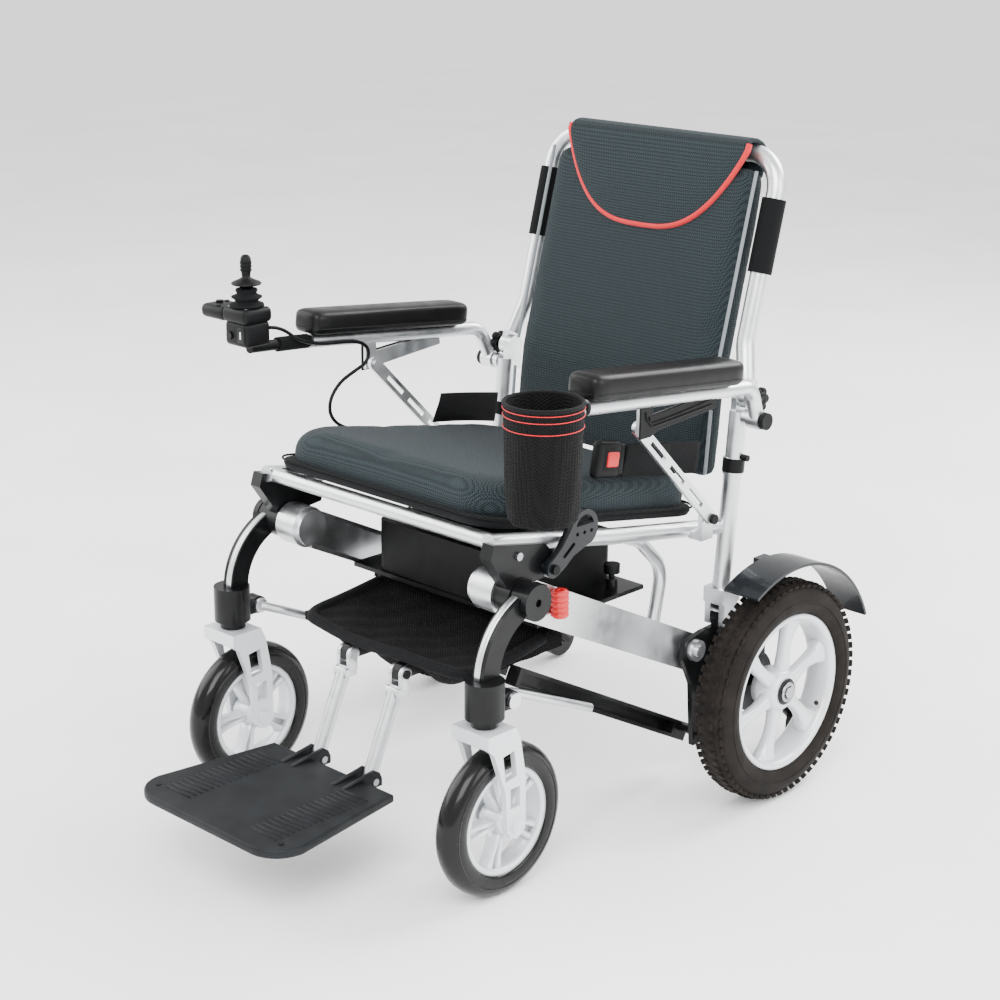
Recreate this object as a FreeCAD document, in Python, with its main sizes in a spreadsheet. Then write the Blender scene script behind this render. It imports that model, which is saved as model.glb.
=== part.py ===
import FreeCAD, Part
import os
import re
import math
from FreeCAD import Vector, Rotation, Placement

# Power wheelchair. It faces -Y, the user's left is +X, the floor is z = 0.
# Pieces are drawn with the rear axle at y = 0 and carried to the row frame by axle_y.
doc = FreeCAD.newDocument("power_wheelchair")
sheet = doc.addObject("Spreadsheet::Sheet", "Sizes")
sizes = {
    "axle_y": 271,          # from the rear axle line to the middle of the chair's length
    "frame_tube_r": 12.5,     # posts and back tube
    "rail_r": 11,             # seat rails, leg tubes
    "arm_tube_r": 10,
    "beam_high": 52,
    "beam_thick": 28,
    "beam_wall": 5,
    "wheel_r": 155,
    "wheel_tyre_wide": 56,
    "wheel_rim_r": 109,
    "caster_r": 100,
    "caster_tyre_wide": 36,
    "caster_rim_r": 70,
    "plate_thick": 13,
    "cushion_thick": 56,
    "back_thick": 44,
    "pad_wide": 52,
    "pad_high": 34,
    "pin_r": 8,
    "small_pin_r": 6,
    "running_fit": 0.05,
}
for row, (word, value) in enumerate(sizes.items(), start=1):
    sheet.set("A%d" % row, word)
    sheet.set("B%d" % row, str(value))
    sheet.setAlias("B%d" % row, word)
doc.recompute()

nodes = []


def bind(obj, prop, value):
    """A size is a spreadsheet word or formula when it is text, and a plain number otherwise."""
    if isinstance(value, str):
        text = re.sub(r"([a-z]\w*)", r"Sizes.\1", value)
        obj.setExpression(prop, text)
    else:
        setattr(obj, prop, value)


def cyl(name, r, length, start, axis):
    c = doc.addObject("Part::Cylinder", name)
    bind(c, "Radius", r)
    bind(c, "Height", length)
    c.Placement = Placement(Vector(*start), Rotation(Vector(0, 0, 1), Vector(*axis)))
    return c


def cone(name, r1, r2, length, start, axis=(0, 0, 1)):
    c = doc.addObject("Part::Cone", name)
    bind(c, "Radius1", r1)
    bind(c, "Radius2", r2)
    bind(c, "Height", length)
    c.Placement = Placement(Vector(*start), Rotation(Vector(0, 0, 1), Vector(*axis)))
    return c


def box(name, low, high, tilt=0.0, about=None):
    """A box from its low corner to its high one, turned about +X by tilt degrees about a point."""
    b = doc.addObject("Part::Box", name)
    b.Length = high[0] - low[0]
    b.Width = high[1] - low[1]
    b.Height = high[2] - low[2]
    place = Placement(Vector(*low), Rotation())
    if tilt:
        turn = Placement(Vector(), Rotation(Vector(1, 0, 0), tilt), Vector(*about))
        place = turn.multiply(place)
    b.Placement = place
    return b


def plate(name, outline, x, thick):
    """A flat plate across X from an outline of (y, z) corners."""
    p = doc.addObject("Part::Polygon", name + "_outline")
    p.Nodes = [Vector(x, y, z) for y, z in outline]
    p.Close = True
    e = doc.addObject("Part::Extrusion", name)
    e.Base = p
    e.DirMode = "Custom"
    e.Dir = Vector(1, 0, 0)
    bind(e, "LengthFwd", thick)
    e.Solid = True
    return e


def path_wire(points, bend):
    """Straight runs joined by tangent arcs."""
    pts = [Vector(*p) for p in points]
    edges = []
    here = pts[0]
    for a, b, c in zip(pts, pts[1:], pts[2:]):
        u = (a - b).normalize()
        v = (c - b).normalize()
        half = u.getAngle(v) / 2
        if math.pi - 2 * half < 0.01:
            continue
        back = bend / math.tan(half)
        back = min(back, 0.45 * (a - b).Length, 0.45 * (c - b).Length)
        r = back * math.tan(half)
        start = b + u * back
        stop = b + v * back
        centre = b + (u + v).normalize() * (r / math.sin(half))
        mid = centre + (b - centre).normalize() * r
        edges.append(Part.LineSegment(here, start).toShape())
        edges.append(Part.Arc(start, mid, stop).toShape())
        here = stop
    edges.append(Part.LineSegment(here, pts[-1]).toShape())
    return Part.Wire(edges)


def tube(name, points, r, bend=40.0):
    spine = doc.addObject("Part::Feature", name + "_path")
    wire = path_wire(points, bend)
    spine.Shape = wire
    ring = doc.addObject("Part::Circle", name + "_ring")
    bind(ring, "Radius", r)
    along = Vector(*points[1]) - Vector(*points[0])
    ring.Placement = Placement(Vector(*points[0]), Rotation(Vector(0, 0, 1), along))
    s = doc.addObject("Part::Sweep", name)
    s.Sections = [ring]
    s.Spine = (spine, ["Edge%d" % (i + 1) for i in range(len(wire.Edges))])
    s.Solid = True
    s.Frenet = False
    return s


def fuse(name, parts):
    f = doc.addObject("Part::MultiFuse", name)
    f.Shapes = parts
    f.Refine = True
    return f


def cut(name, base, tools):
    if len(tools) > 1:
        tool = fuse(name + "_tools", tools)
    else:
        tool = tools[0]
    c = doc.addObject("Part::Cut", name)
    c.Base = base
    c.Tool = tool
    return c


def rounded(name, base, r, pick):
    """Round the edges that pick(edge) chooses."""
    doc.recompute()
    f = doc.addObject("Part::Fillet", name)
    f.Base = base
    f.Edges = [(i, r, r) for i, e in enumerate(base.Shape.Edges, start=1) if pick(e)]
    return f


def mirrored(name, source):
    m = doc.addObject("Part::Mirroring", name)
    m.Source = source
    m.Normal = Vector(1, 0, 0)
    m.Base = Vector(0, 0, 0)
    return m


def node(obj, label):
    """A finished piece: its name, and its carry along Y into the row frame."""
    obj.Label = label
    y = obj.Placement.Base.y
    obj.setExpression("Placement.Base.y", "Sizes.axle_y + %.6f" % y)
    nodes.append(obj)
    return obj


def pair(obj, label):
    """The left piece, and its mirror copy on the right, which follows the left one's Placement."""
    node(obj, label + "_left")
    twin = mirrored(label + "_mirror", obj)
    twin.Label = label + "_right"
    nodes.append(twin)
    return obj, twin


def wheel_body(name, profile, place):
    """A PartDesign body turned from a half section of (radius, across) corners about its X axis."""
    body = doc.addObject("PartDesign::Body", name)
    flat = [f for f in body.Origin.OriginFeatures if f.Role == "XY_Plane"][0]
    sk = body.newObject("Sketcher::SketchObject", name + "_section")
    sk.AttachmentSupport = [(flat, "")]
    sk.MapMode = "FlatFace"
    count = len(profile)
    for i in range(count):
        r1, a1 = profile[i]
        r2, a2 = profile[(i + 1) % count]
        sk.addGeometry(Part.LineSegment(Vector(a1, r1, 0), Vector(a2, r2, 0)), False)
    rev = body.newObject("PartDesign::Revolution", name + "_turned")
    rev.Profile = sk
    rev.ReferenceAxis = (sk, ["H_Axis"])
    rev.Angle = 360
    body.Placement = place
    return body


def spokes(body, name, count, outline, wide, offset):
    """Spokes padded along the wheel's X axis from an outline of (y, z) corners, turned round the hub."""
    flat = [f for f in body.Origin.OriginFeatures if f.Role == "YZ_Plane"][0]
    sk = body.newObject("Sketcher::SketchObject", name + "_spoke")
    sk.AttachmentSupport = [(flat, "")]
    sk.MapMode = "FlatFace"
    sk.AttachmentOffset = Placement(Vector(0, 0, offset), Rotation())
    corners = len(outline)
    for i in range(corners):
        a = outline[i]
        b = outline[(i + 1) % corners]
        sk.addGeometry(Part.LineSegment(Vector(a[0], a[1], 0), Vector(b[0], b[1], 0)), False)
    pad = body.newObject("PartDesign::Pad", name + "_spoke_pad")
    pad.Profile = sk
    pad.Length = wide
    doc.recompute()
    turn = body.newObject("PartDesign::PolarPattern", name + "_spokes")
    turn.Originals = [pad]
    turn.Axis = ([f for f in body.Origin.OriginFeatures if f.Role == "X_Axis"][0], [""])
    turn.Angle = 360
    turn.Occurrences = count
    body.Tip = turn


# ---- rear wheels: tyre, alloy rim with six spokes, hub cap ----
REAR_X = 310
tyre_section = [(109, -20), (114, -26), (128, -28), (143, -24), (152, -14), (155, 0),
                (152, 14), (143, 24), (128, 28), (114, 26), (109, 20)]
tyre = wheel_body("rear_tyre", tyre_section, Placement(Vector(REAR_X, 0, 155), Rotation()))
pair(tyre, "rear_tyre")
rim_section = [(99, -22), (108.9, -22), (108.9, 22), (99, 22), (99, 18), (103, 12), (103, -12), (99, -18)]
rim = wheel_body("rear_rim", rim_section, Placement(Vector(REAR_X, 0, 155), Rotation()))
hub_sk = rim.newObject("Sketcher::SketchObject", "rear_hub_section")
hub_sk.AttachmentSupport = [([f for f in rim.Origin.OriginFeatures if f.Role == "XY_Plane"][0], "")]
hub_sk.MapMode = "FlatFace"
hub_pts = [(8.05, -24), (30, -24), (30, 10), (24, 16), (8.05, 16)]
for i in range(5):
    a = hub_pts[i]
    b = hub_pts[(i + 1) % 5]
    hub_sk.addGeometry(Part.LineSegment(Vector(a[1], a[0], 0), Vector(b[1], b[0], 0)), False)
hub = rim.newObject("PartDesign::Revolution", "rear_hub")
hub.Profile = hub_sk
hub.ReferenceAxis = (hub_sk, ["H_Axis"])
hub.Angle = 360
spokes(rim, "rear", 6, [(26, -9), (60, -7), (106, -15), (106, 15), (60, 7), (26, 9)], 12, 0)
cap = wheel_body("rear_cap", [(0, 21), (7, 21), (7, 16.3), (12, 16.3), (12, 15), (16, 15), (16, 19), (10, 24), (0, 24)],
                 Placement(Vector(REAR_X, 0, 155), Rotation()))
rim_and_cap = fuse("rear_rim_all", [rim, cap])
pair(rim_and_cap, "rear_rim")

# ---- front casters: fork, axle, tyre, rim ----
STEM = (237.6, -493)
WHEEL = (237.6, -467.7, 100)
ctyre_section = [(70, -15), (76, -18), (90, -17), (97, -11), (100, 0), (97, 11), (90, 17), (76, 18), (70, 15)]
ctyre = wheel_body("caster_tyre", ctyre_section, Placement(Vector(*WHEEL), Rotation()))
pair(ctyre, "caster_tyre")
crim_section = [(62, -15), (69.9, -15), (69.9, 15), (62, 15), (62, 12), (66, 8), (66, -8), (62, -12)]
crim = wheel_body("caster_rim", crim_section, Placement(Vector(*WHEEL), Rotation()))
chub_sk = crim.newObject("Sketcher::SketchObject", "caster_hub_section")
chub_sk.AttachmentSupport = [([f for f in crim.Origin.OriginFeatures if f.Role == "XY_Plane"][0], "")]
chub_sk.MapMode = "FlatFace"
chub_pts = [(6.05, -20), (15, -20), (17, -14), (17, 14), (15, 20), (6.05, 20)]
for i in range(6):
    a = chub_pts[i]
    b = chub_pts[(i + 1) % 6]
    chub_sk.addGeometry(Part.LineSegment(Vector(a[1], a[0], 0), Vector(b[1], b[0], 0)), False)
chub = crim.newObject("PartDesign::Revolution", "caster_hub")
chub.Profile = chub_sk
chub.ReferenceAxis = (chub_sk, ["H_Axis"])
chub.Angle = 360
spokes(crim, "caster", 5, [(14, -7), (68, -9), (68, 9), (14, 7)], 14, -7)
pair(crim, "caster_rim")

leg_outline = [(-518, 231), (-470, 231), (-462, 214), (-452, 160), (-452, 96), (-458, 86), (-468, 83),
               (-478, 86), (-484, 96), (-488, 150), (-508, 205), (-518, 214)]
fork_block = plate("fork_block", leg_outline, STEM[0] - 31, 62)
fork_gap = box("fork_gap", (STEM[0] - 23, -600, 60), (STEM[0] + 23, -300, 212))
window_low = box("fork_window_low", (200, -479, 125), (280, -462, 152))
window_high = box("fork_window_high", (200, -490, 165), (280, -470, 200), 8, (0, -480, 180))
fork_shell = cut("fork_shell", fork_block, [fork_gap, window_low, window_high])
stem = cyl("caster_stem", "pin_r", 50, (STEM[0], STEM[1], 228), (0, 0, 1))
axle = cyl("caster_axle", "small_pin_r", 74, (STEM[0] - 37, WHEEL[1], 100), (1, 0, 0))
nut_a = cyl("caster_nut_a", 10, 5, (STEM[0] + 31, WHEEL[1], 100), (1, 0, 0))
nut_b = cyl("caster_nut_b", 10, 5, (STEM[0] - 36, WHEEL[1], 100), (1, 0, 0))
fork = fuse("caster_fork_all", [fork_shell, stem, axle, nut_a, nut_b])
pair(fork, "caster_fork")

# ---- front frame: curved arms and stem housings, folding about the hub pins ----
HUB = (-417, 372)
ring_out = cyl("arm_ring_out", 102, 18, (226, -400, 285), (1, 0, 0))
ring_in = cyl("arm_ring_in", 74, 20, (225, -400, 285), (1, 0, 0))
arm_ring = cut("arm_ring", ring_out, [ring_in])
keep_low = box("arm_keep_low", (220, -520, 283), (250, -391, 400))
arm_part = doc.addObject("Part::Common", "arm_sector")
arm_part.Base = arm_ring
arm_part.Tool = keep_low
arm_hub = cyl("arm_hub", 22, 18, (226, HUB[0], HUB[1]), (1, 0, 0))
housing = cyl("stem_housing", 24.5, 48, (STEM[0], STEM[1], 242), (0, 0, 1))
housing_neck = cyl("stem_neck", 17, 13, (STEM[0], STEM[1], 232), (0, 0, 1))
link_lug = box("link_lug", (228, -480, 244), (246, -454, 266))
link_eye = cyl("link_eye", 12, 18, (228, -454, 255), (1, 0, 0))
arm_solid = fuse("front_arm_solid", [arm_part, arm_hub, housing, housing_neck, link_lug, link_eye])
arm_bore = cyl("front_arm_bore", "pin_r + running_fit", 30, (220, HUB[0], HUB[1]), (1, 0, 0))
stem_bore = cyl("stem_bore", "pin_r + running_fit", 47, (STEM[0], STEM[1], 232), (0, 0, 1))
link_bore = cyl("link_bore", "small_pin_r + running_fit", 30, (220, -454, 255), (1, 0, 0))
pair(cut("front_arm", arm_solid, [arm_bore, stem_bore, link_bore]), "front_arm")

# ---- side frame: beams, hub collars, pins ----
beam = doc.addObject("PartDesign::Body", "side_beam")
flat = [f for f in beam.Origin.OriginFeatures if f.Role == "XY_Plane"][0]
for part_name, x0, x1, y0, y1, kind in (("bar", 24, 430, -26, 26, "PartDesign::Pad"),
                                        ("channel", 20, 434, -20, 20, "PartDesign::Pocket")):
    sk = beam.newObject("Sketcher::SketchObject", "beam_" + part_name)
    sk.AttachmentSupport = [(flat, "")]
    sk.MapMode = "FlatFace"
    corners = [(x0, y0), (x1, y0), (x1, y1), (x0, y1)]
    for i in range(4):
        a = corners[i]
        b = corners[(i + 1) % 4]
        sk.addGeometry(Part.LineSegment(Vector(a[0], a[1], 0), Vector(b[0], b[1], 0)), False)
    step = beam.newObject(kind, "beam_%s_step" % part_name)
    step.Profile = sk
    if kind == "PartDesign::Pad":
        step.setExpression("Length", "Sizes.beam_thick")
    else:
        step.setExpression("Length", "Sizes.beam_thick - Sizes.beam_wall")
        step.Reversed = True
    doc.recompute()
slope = math.degrees(math.atan2(187, 379))
run = Vector(0, math.cos(math.radians(slope)), -math.sin(math.radians(slope)))
rise = Vector(0, math.sin(math.radians(slope)), math.cos(math.radians(slope)))
out = run.cross(rise)
beam.Placement = Placement(Vector(172 if out.x > 0 else 200, HUB[0], HUB[1]), Rotation(run, rise, out, "XYZ"))
hub_hole = cyl("beam_hub_hole", 28, 60, (150, HUB[0], HUB[1]), (1, 0, 0))
pin_hole = cyl("beam_pin_hole", "pin_r", 60, (160, -59, 201), (1, 0, 0))
side_beam = cut("side_beam_cut", beam, [hub_hole, pin_hole])
collar = cyl("hub_collar", 28, 35, (165, HUB[0], HUB[1]), (1, 0, 0))
hub_cap = cyl("hub_cap_in", 24, 8, (157, HUB[0], HUB[1]), (1, 0, 0))
sleeve = cyl("hub_sleeve", 24, 25, (200, HUB[0], HUB[1]), (1, 0, 0))
hub_pin = cyl("hub_pin", "pin_r", 30, (220, HUB[0], HUB[1]), (1, 0, 0))
hub_disc = cyl("hub_disc", 23, 9, (245, HUB[0], HUB[1]), (1, 0, 0))
hex_socket = cyl("hub_hex", 5, 6, (249, HUB[0], HUB[1]), (1, 0, 0))

rear_pin = cyl("rear_pin", "pin_r", 54, (172, -59, 201), (1, 0, 0))
rear_ring = cyl("rear_pin_ring", 15, 9, (213.4, -59, 201), (1, 0, 0))
pair(fuse("side_beam_all", [side_beam, collar, hub_cap, rear_pin, rear_ring]), "side_beam")

# ---- rear frame: plates, motors, axles, mudguards, anti-tip wheels, folding about the rear pins ----
plate_outline = [(-78, 215), (-40, 222), (20, 225), (34, 150), (-18, 56), (-52, 56), (-60, 150), (-80, 190)]
lug = fuse("rear_lug", [box("rear_lug_block", (208, -16, 200), (222, 8, 240)),
                        cyl("rear_lug_round", 15, 14, (208, -4, 240), (1, 0, 0))])
saddle_ring = cut("saddle_ring", cyl("saddle_ring_out", 73.9, 40, (200, -59, 201), (1, 0, 0)),
                  [cyl("saddle_ring_in", 60.9, 44, (198, -59, 201), (1, 0, 0))])
saddle_way = doc.addObject("Part::MultiCommon", "saddle_way")
saddle_way.Shapes = [saddle_ring, box("saddle_reach", (199, -45, 238), (241, 2.3, 290))]
saddle = fuse("saddle_slot", [cyl("saddle_round", 6.3, 40, (200, -4, 240), (1, 0, 0)), saddle_way])
rear_bore = cyl("rear_plate_bore", "pin_r + running_fit", 20, (200, -59, 201), (1, 0, 0))
foot_bore = cyl("rear_foot_bore", "small_pin_r + running_fit", 20, (200, -38, 70), (1, 0, 0))
rear_all = fuse("rear_plate_all", [plate("rear_plate_flat", plate_outline, 205, 8), lug])
pair(cut("rear_plate_cut", rear_all, [saddle, rear_bore, foot_bore]), "rear_plate")
motor = cyl("motor_case", 42, 59, (213, 0, 155), (1, 0, 0))
motor_axle = cyl("motor_axle", "pin_r", 54, (272, 0, 155), (1, 0, 0))
guard = cut("guard_ring", cyl("guard_out", 182, 56, (283, 0, 155), (1, 0, 0)),
            [cyl("guard_in", 178, 60, (281, 0, 155), (1, 0, 0))])
guard_part = doc.addObject("Part::Common", "guard_sector")
guard_part.Base = guard
guard_part.Tool = plate("guard_wedge", [(0, 155), (300, 282), (300, 520), (-206, 520)], 280, 64)
strap = fuse("guard_strap", [box("guard_strap_low", (272, -12, 170), (281, 12, 318)),
                             box("guard_strap_top", (272, -12, 316), (283, 12, 336))])
pair(fuse("mudguard_all", [guard_part, strap]), "mudguard")
tip_arm = tube("tip_arm", [(221.5, 20, 130), (221.5, 120, 84), (221.5, 170, 36)], 8, 40)
tip_pin = cyl("tip_pin", 5, 33, (221.5, 170, 34), (1, 0, 0))
tip_nut = cyl("tip_nut", 8, 4, (250.4, 170, 34), (1, 0, 0))
pair(fuse("drive_motor_all", [motor, motor_axle, tip_arm, tip_pin, tip_nut]), "drive_motor")
tip = cut("tip_wheel", cyl("tip_round", 30, 19, (231, 170, 34), (1, 0, 0)),
          [cyl("tip_bore", "5 + running_fit", 30, (225, 170, 34), (1, 0, 0))])
pair(tip, "anti_tip_wheel")

# ---- telescoping lower links: rods on the front arms, channels on the rear plates ----
rod_eye = cyl("rod_eye", 10, 5, (247, -454, 255), (1, 0, 0))
rod_pin = cyl("rod_pin", "small_pin_r", 26, (223, -454, 255), (1, 0, 0))
rod_head = cyl("rod_head", 10, 5, (222.5, -454, 255), (1, 0, 0))
rod_run = tube("rod_run", [(224, -454, 255), (206, -430, 246), (190, -396, 232), (190, -245, 165)], 6, 40)
pair(fuse("link_rod_all", [rod_pin, rod_eye, rod_head, rod_run]), "link_rod")
chan_len = 380
chan = box("chan_bar", (162, -38 - chan_len, 51), (181, -26, 77), -28, (0, -38, 64))
chan_slot = box("chan_slot", (168, -38 - chan_len + 8, 56), (182, -60, 72), -28, (0, -38, 64))
chan_pin = cyl("chan_pin", "small_pin_r", 38, (178, -38, 70), (1, 0, 0))
chan_head = cyl("chan_head", 10, 4, (213.4, -38, 70), (1, 0, 0))
pair(fuse("link_channel_all", [cut("chan_cut", chan, [chan_slot]), chan_pin, chan_head]), "link_channel")

# ---- posts, seat rails, hangers, brackets ----
lean = math.degrees(math.atan2(24, 259))
post_dir = (0, 24, 259)
post_tube = cyl("post_tube", "frame_tube_r", 248, (215, -5, 276), post_dir)
clevis = [box("clevis_block", (198, -22, 258), (232, 14, 280)),
          box("clevis_in", (198, -18, 226.5), (207.6, 10, 258)),
          box("clevis_out", (222.4, -18, 226.5), (232, 10, 258)),
          cyl("clevis_bolt", "small_pin_r", 40, (195, -4, 240), (1, 0, 0))]
knuckle = fuse("post_knuckle", [cyl("post_knuckle_round", 15, 9, (206, 28, 541), (1, 0, 0)),
                                box("post_knuckle_neck", (206, 12, 505), (215, 40, 541))])
knuckle_pin = cyl("post_knuckle_pin", 5, 24, (212, 28, 541), (1, 0, 0))
band = cyl("post_band", 14.5, 22, (215, 10, 437.5), post_dir)
arm_pin = cyl("arm_pin", "small_pin_r", 43, (215, 17, 517), (1, 0, 0))
arm_pin_cap = cyl("arm_pin_cap", 11, 6, (257, 17, 517), (1, 0, 0))
arm_stop = cyl("arm_pin_collar", 10, 8, (226, 17, 517), (1, 0, 0))
pair(fuse("back_post_all", [post_tube] + clevis + [knuckle, knuckle_pin, band, arm_pin, arm_pin_cap, arm_stop]),
     "back_post")


def rail_tool(name):
    return tube(name, [(205, -455, 446), (205, -226, 401), (205, -5, 363)], "rail_r", 60)


def post_tool(name):
    return cyl(name, "frame_tube_r", 261, (215, -5, 276), post_dir)


front_bar = cyl("front_bar", 10, 410, (-205, -444, 443.8), (1, 0, 0))
hanger = tube("hanger_tube", [(205, -210, 398), (187, -150, 372), (184, -96, 322), (184, -112, 245)], 9, 45)
beam_tool = box("hanger_beam_tool", (170, -393, 346), (202, 13, 398), -slope, (0, HUB[0], HUB[1]))
lug_stand = box("strut_lug_stand", (214, -80, 366), (236, -56, 376))
lug_wall = box("strut_lug_wall", (229, -80, 366), (236, -56, 402))
lug_pin = cyl("strut_lug_pin", 5, 13, (234, -68, 397), (1, 0, 0))
rail_side = cut("seat_rail_side", fuse("seat_rail_hanger", [rail_tool("seat_rail_tube"), hanger, lug_stand,
                lug_wall, lug_pin]), [post_tool("rail_post_tool"), beam_tool])
rail_twin = mirrored("seat_rail_twin", rail_side)
cable_gland = cyl("cable_gland", 5, 17, (-213, -126, 387), (0, 0, 1))
node(fuse("seat_frame_all", [rail_side, rail_twin, front_bar, cable_gland]), "seat_frame")
bracket_outline = [(-436, 385), (-398, 384), (-360, 388), (-354, 412), (-372, 430), (-462, 448), (-468, 430)]
bracket = fuse("seat_bracket_all", [plate("seat_bracket_flat", bracket_outline, 203, 19),
                                    cyl("lever_pin", 5, 20, (221, -372, 400), (1, 0, 0))])
bracket_cut = cut("seat_bracket_cut", bracket, [rail_tool("bracket_rail_tool")])
hub_solid = fuse("hub_pin_all", [sleeve, hub_pin, hub_disc, bracket_cut])
pair(cut("hub_pin_cut", hub_solid, [hex_socket]), "hub_bracket")
lever_window = doc.addObject("Part::MultiCommon", "lever_window")
lever_window.Shapes = [cyl("lever_window_round", 17, 20, (225, -316, 441), (1, 0, 0)),
                       box("lever_window_half", (224, -336, 444), (246, -296, 462))]
lever_holes = [cyl("lever_bore", "5 + running_fit", 20, (225, -372, 400), (1, 0, 0)), lever_window,
               box("lever_slot", (225, -357, 415), (245, -333, 421), -35, (0, -345, 418))]
for i in range(3):
    lever_holes.append(cyl("lever_hole_%d" % i, 3, 20, (225, -330 + 13 * i, 435), (1, 0, 0)))
lever_solid = fuse("lever_solid", [cyl("lever_head", 24, 10, (228, -316, 440), (1, 0, 0)),
                                   cyl("lever_foot", 11, 10, (228, -372, 400), (1, 0, 0)),
                                   plate("lever_arm", [(-381, 407), (-365, 392), (-302, 421), (-333, 456)], 228, 10)])
node(cut("lever_cut", lever_solid, lever_holes), "folding_lever")

# ---- underseat: tray, battery, release knob, buffers, bag ----
tray = box("tray_plate", (-172, -330, 294), (172, -120, 300))
battery = box("battery_block", (-128, -326, 300), (128, -135, 372))
node(rounded("battery_round", battery, 12, lambda e: e.BoundBox.ZLength > 50), "battery_box")
socket = cut("knob_socket", cyl("knob_tower", 8, 14, (150, -160, 300), (0, 0, 1)),
             [cyl("knob_bore", "4 + running_fit", 12, (150, -160, 303), (0, 0, 1))])
node(fuse("knob_all", [cyl("knob_stem", 4, 16, (150, -160, 311), (0, 0, 1)),
                       cyl("knob_head", 11, 12, (150, -160, 322), (0, 0, 1))]), "release_knob")
bag = fuse("bag_all", [box("bag_top", (-158, -452, 246.5), (158, -331, 262)),
                       box("bag_rear", (-158, -331, 246.5), (158, -262, 293.6)),
                       box("bag_mid", (-35, -440, 205), (35, -280, 246.5)),
                       box("bag_out_a", (63, -430, 208), (102, -280, 246.5)),
                       box("bag_out_b", (-102, -430, 208), (-63, -280, 246.5))])
node(bag, "underseat_bag")

# ---- footrest: brackets, legs, flip-up plate ----
foot_outline = [(-462, 227), (-462, 241), (-455, 246), (-262, 246), (-250, 252), (-250, 294), (-236, 294),
                (-236, 232), (-250, 226)]
foot_bracket = cut("foot_bracket_cut", plate("foot_bracket_flat", foot_outline, 43, 12),
                   [cyl("foot_bracket_bore", "small_pin_r + running_fit", 20, (40, -454, 235), (1, 0, 0))])
foot_bracket_twin = mirrored("foot_bracket_twin", foot_bracket)
node(fuse("battery_tray_all", [tray, socket, foot_bracket, foot_bracket_twin]), "battery_tray")
leg_parts = [cyl("leg_pin", "small_pin_r", 24, (37, -454, 235), (1, 0, 0))]
for tag, x in (("in", 37), ("out", 55.3)):
    leg_parts.append(cyl("leg_ear_" + tag, 10, 5.7, (x, -454, 235), (1, 0, 0)))
    leg_parts.append(box("leg_cheek_" + tag, (x, -464, 212), (x + 5.7, -447, 235)))
leg_parts.append(box("leg_yoke", (37, -472, 204), (61, -447, 219)))
leg_parts.append(cyl("leg_tube", "rail_r - 1", 94, (49, -460.5, 214), (0, -47, -110)))
leg_parts.append(plate("leg_neck", [(-519, 104), (-501, 104), (-486, 136), (-508, 136)], 43, 12))
leg_parts.append(cyl("leg_foot_eye", 10, 12, (43, -510, 104), (1, 0, 0)))
leg_bore = cyl("leg_foot_bore", "5 + running_fit", 20, (40, -510, 104), (1, 0, 0))
pair(cut("leg_cut", fuse("leg_all", leg_parts), [leg_bore]), "footrest_leg")

foot = doc.addObject("PartDesign::Body", "footplate_body")
flat = [f for f in foot.Origin.OriginFeatures if f.Role == "XY_Plane"][0]
sk = foot.newObject("Sketcher::SketchObject", "footplate_outline")
sk.AttachmentSupport = [(flat, "")]
sk.MapMode = "FlatFace"
foot_pts = [(-112, -530), (112, -530), (138, -700), (134, -726), (112, -742), (-112, -742), (-134, -726), (-138, -700)]
for i in range(8):
    a = foot_pts[i]
    b = foot_pts[(i + 1) % 8]
    sk.addGeometry(Part.LineSegment(Vector(a[0], a[1], 0), Vector(b[0], b[1], 0)), False)
pad = foot.newObject("PartDesign::Pad", "footplate_pad")
pad.Profile = sk
pad.setExpression("Length", "Sizes.plate_thick")
doc.recompute()
foot.Placement = Placement(Vector(0, 0, 99), Rotation())
grooves = [cyl("foot_hole_a", 3, 20, (-120, -718, 95), (0, 0, 1)), cyl("foot_hole_b", 3, 20, (120, -718, 95), (0, 0, 1))]
for side, x in (("a", -104), ("b", 16)):
    for i in range(9):
        y = -700 + 17 * i
        grooves.append(box("groove_%s%d" % (side, i), (x, y, 110.8), (x + 88, y + 8, 113)))
foot_cut = cut("footplate_grooved", foot, grooves)
ear_outline = [(-500, 97), (-500, 110), (-508, 115), (-530, 118), (-556, 112), (-556, 99), (-524, 96)]
ears = [foot_cut]
for i, x in enumerate((36, 55.3, -42.7, -62)):
    ears.append(plate("foot_ear_%d" % i, ear_outline, x, 6.7))
for i, x in enumerate((36, -62)):
    ears.append(cyl("foot_pin_%d" % i, 5, 26, (x, -510, 104), (1, 0, 0)))
node(fuse("footplate_all", ears), "footplate")

# ---- seat and back ----
SEAT_TILT = -10.2
SEAT = (0, -455, 459)
cushion = box("seat_block", (-205, -455, 459), (205, -25, 515), SEAT_TILT, SEAT)
cushion.setExpression("Height", "Sizes.cushion_thick")
cushion_round = rounded("seat_corners", cushion, 38, lambda e: abs(e.BoundBox.ZLength - 55.1) < 3
                        and e.BoundBox.XLength < 1 and e.BoundBox.YLength < 12)
node(cushion_round, "seat_cushion")
low_back = box("back_low_block", (-184, -14, 416), (184, 28, 519), -5, (0, 8, 415))
node(low_back, "back_cushion_lower")
BACK_TILT = -15
PIVOT = (0, 28, 541)


def leaned(y, z):
    """A point of the upright back drawing, leaned back about the hinge."""
    a = math.radians(15)
    dy = y - PIVOT[1]
    dz = z - PIVOT[2]
    return PIVOT[1] + dy * math.cos(a) + dz * math.sin(a), PIVOT[2] - dy * math.sin(a) + dz * math.cos(a)


def at(x, s):
    y, z = leaned(28, 541 + s)
    return (x, y, z)


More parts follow.
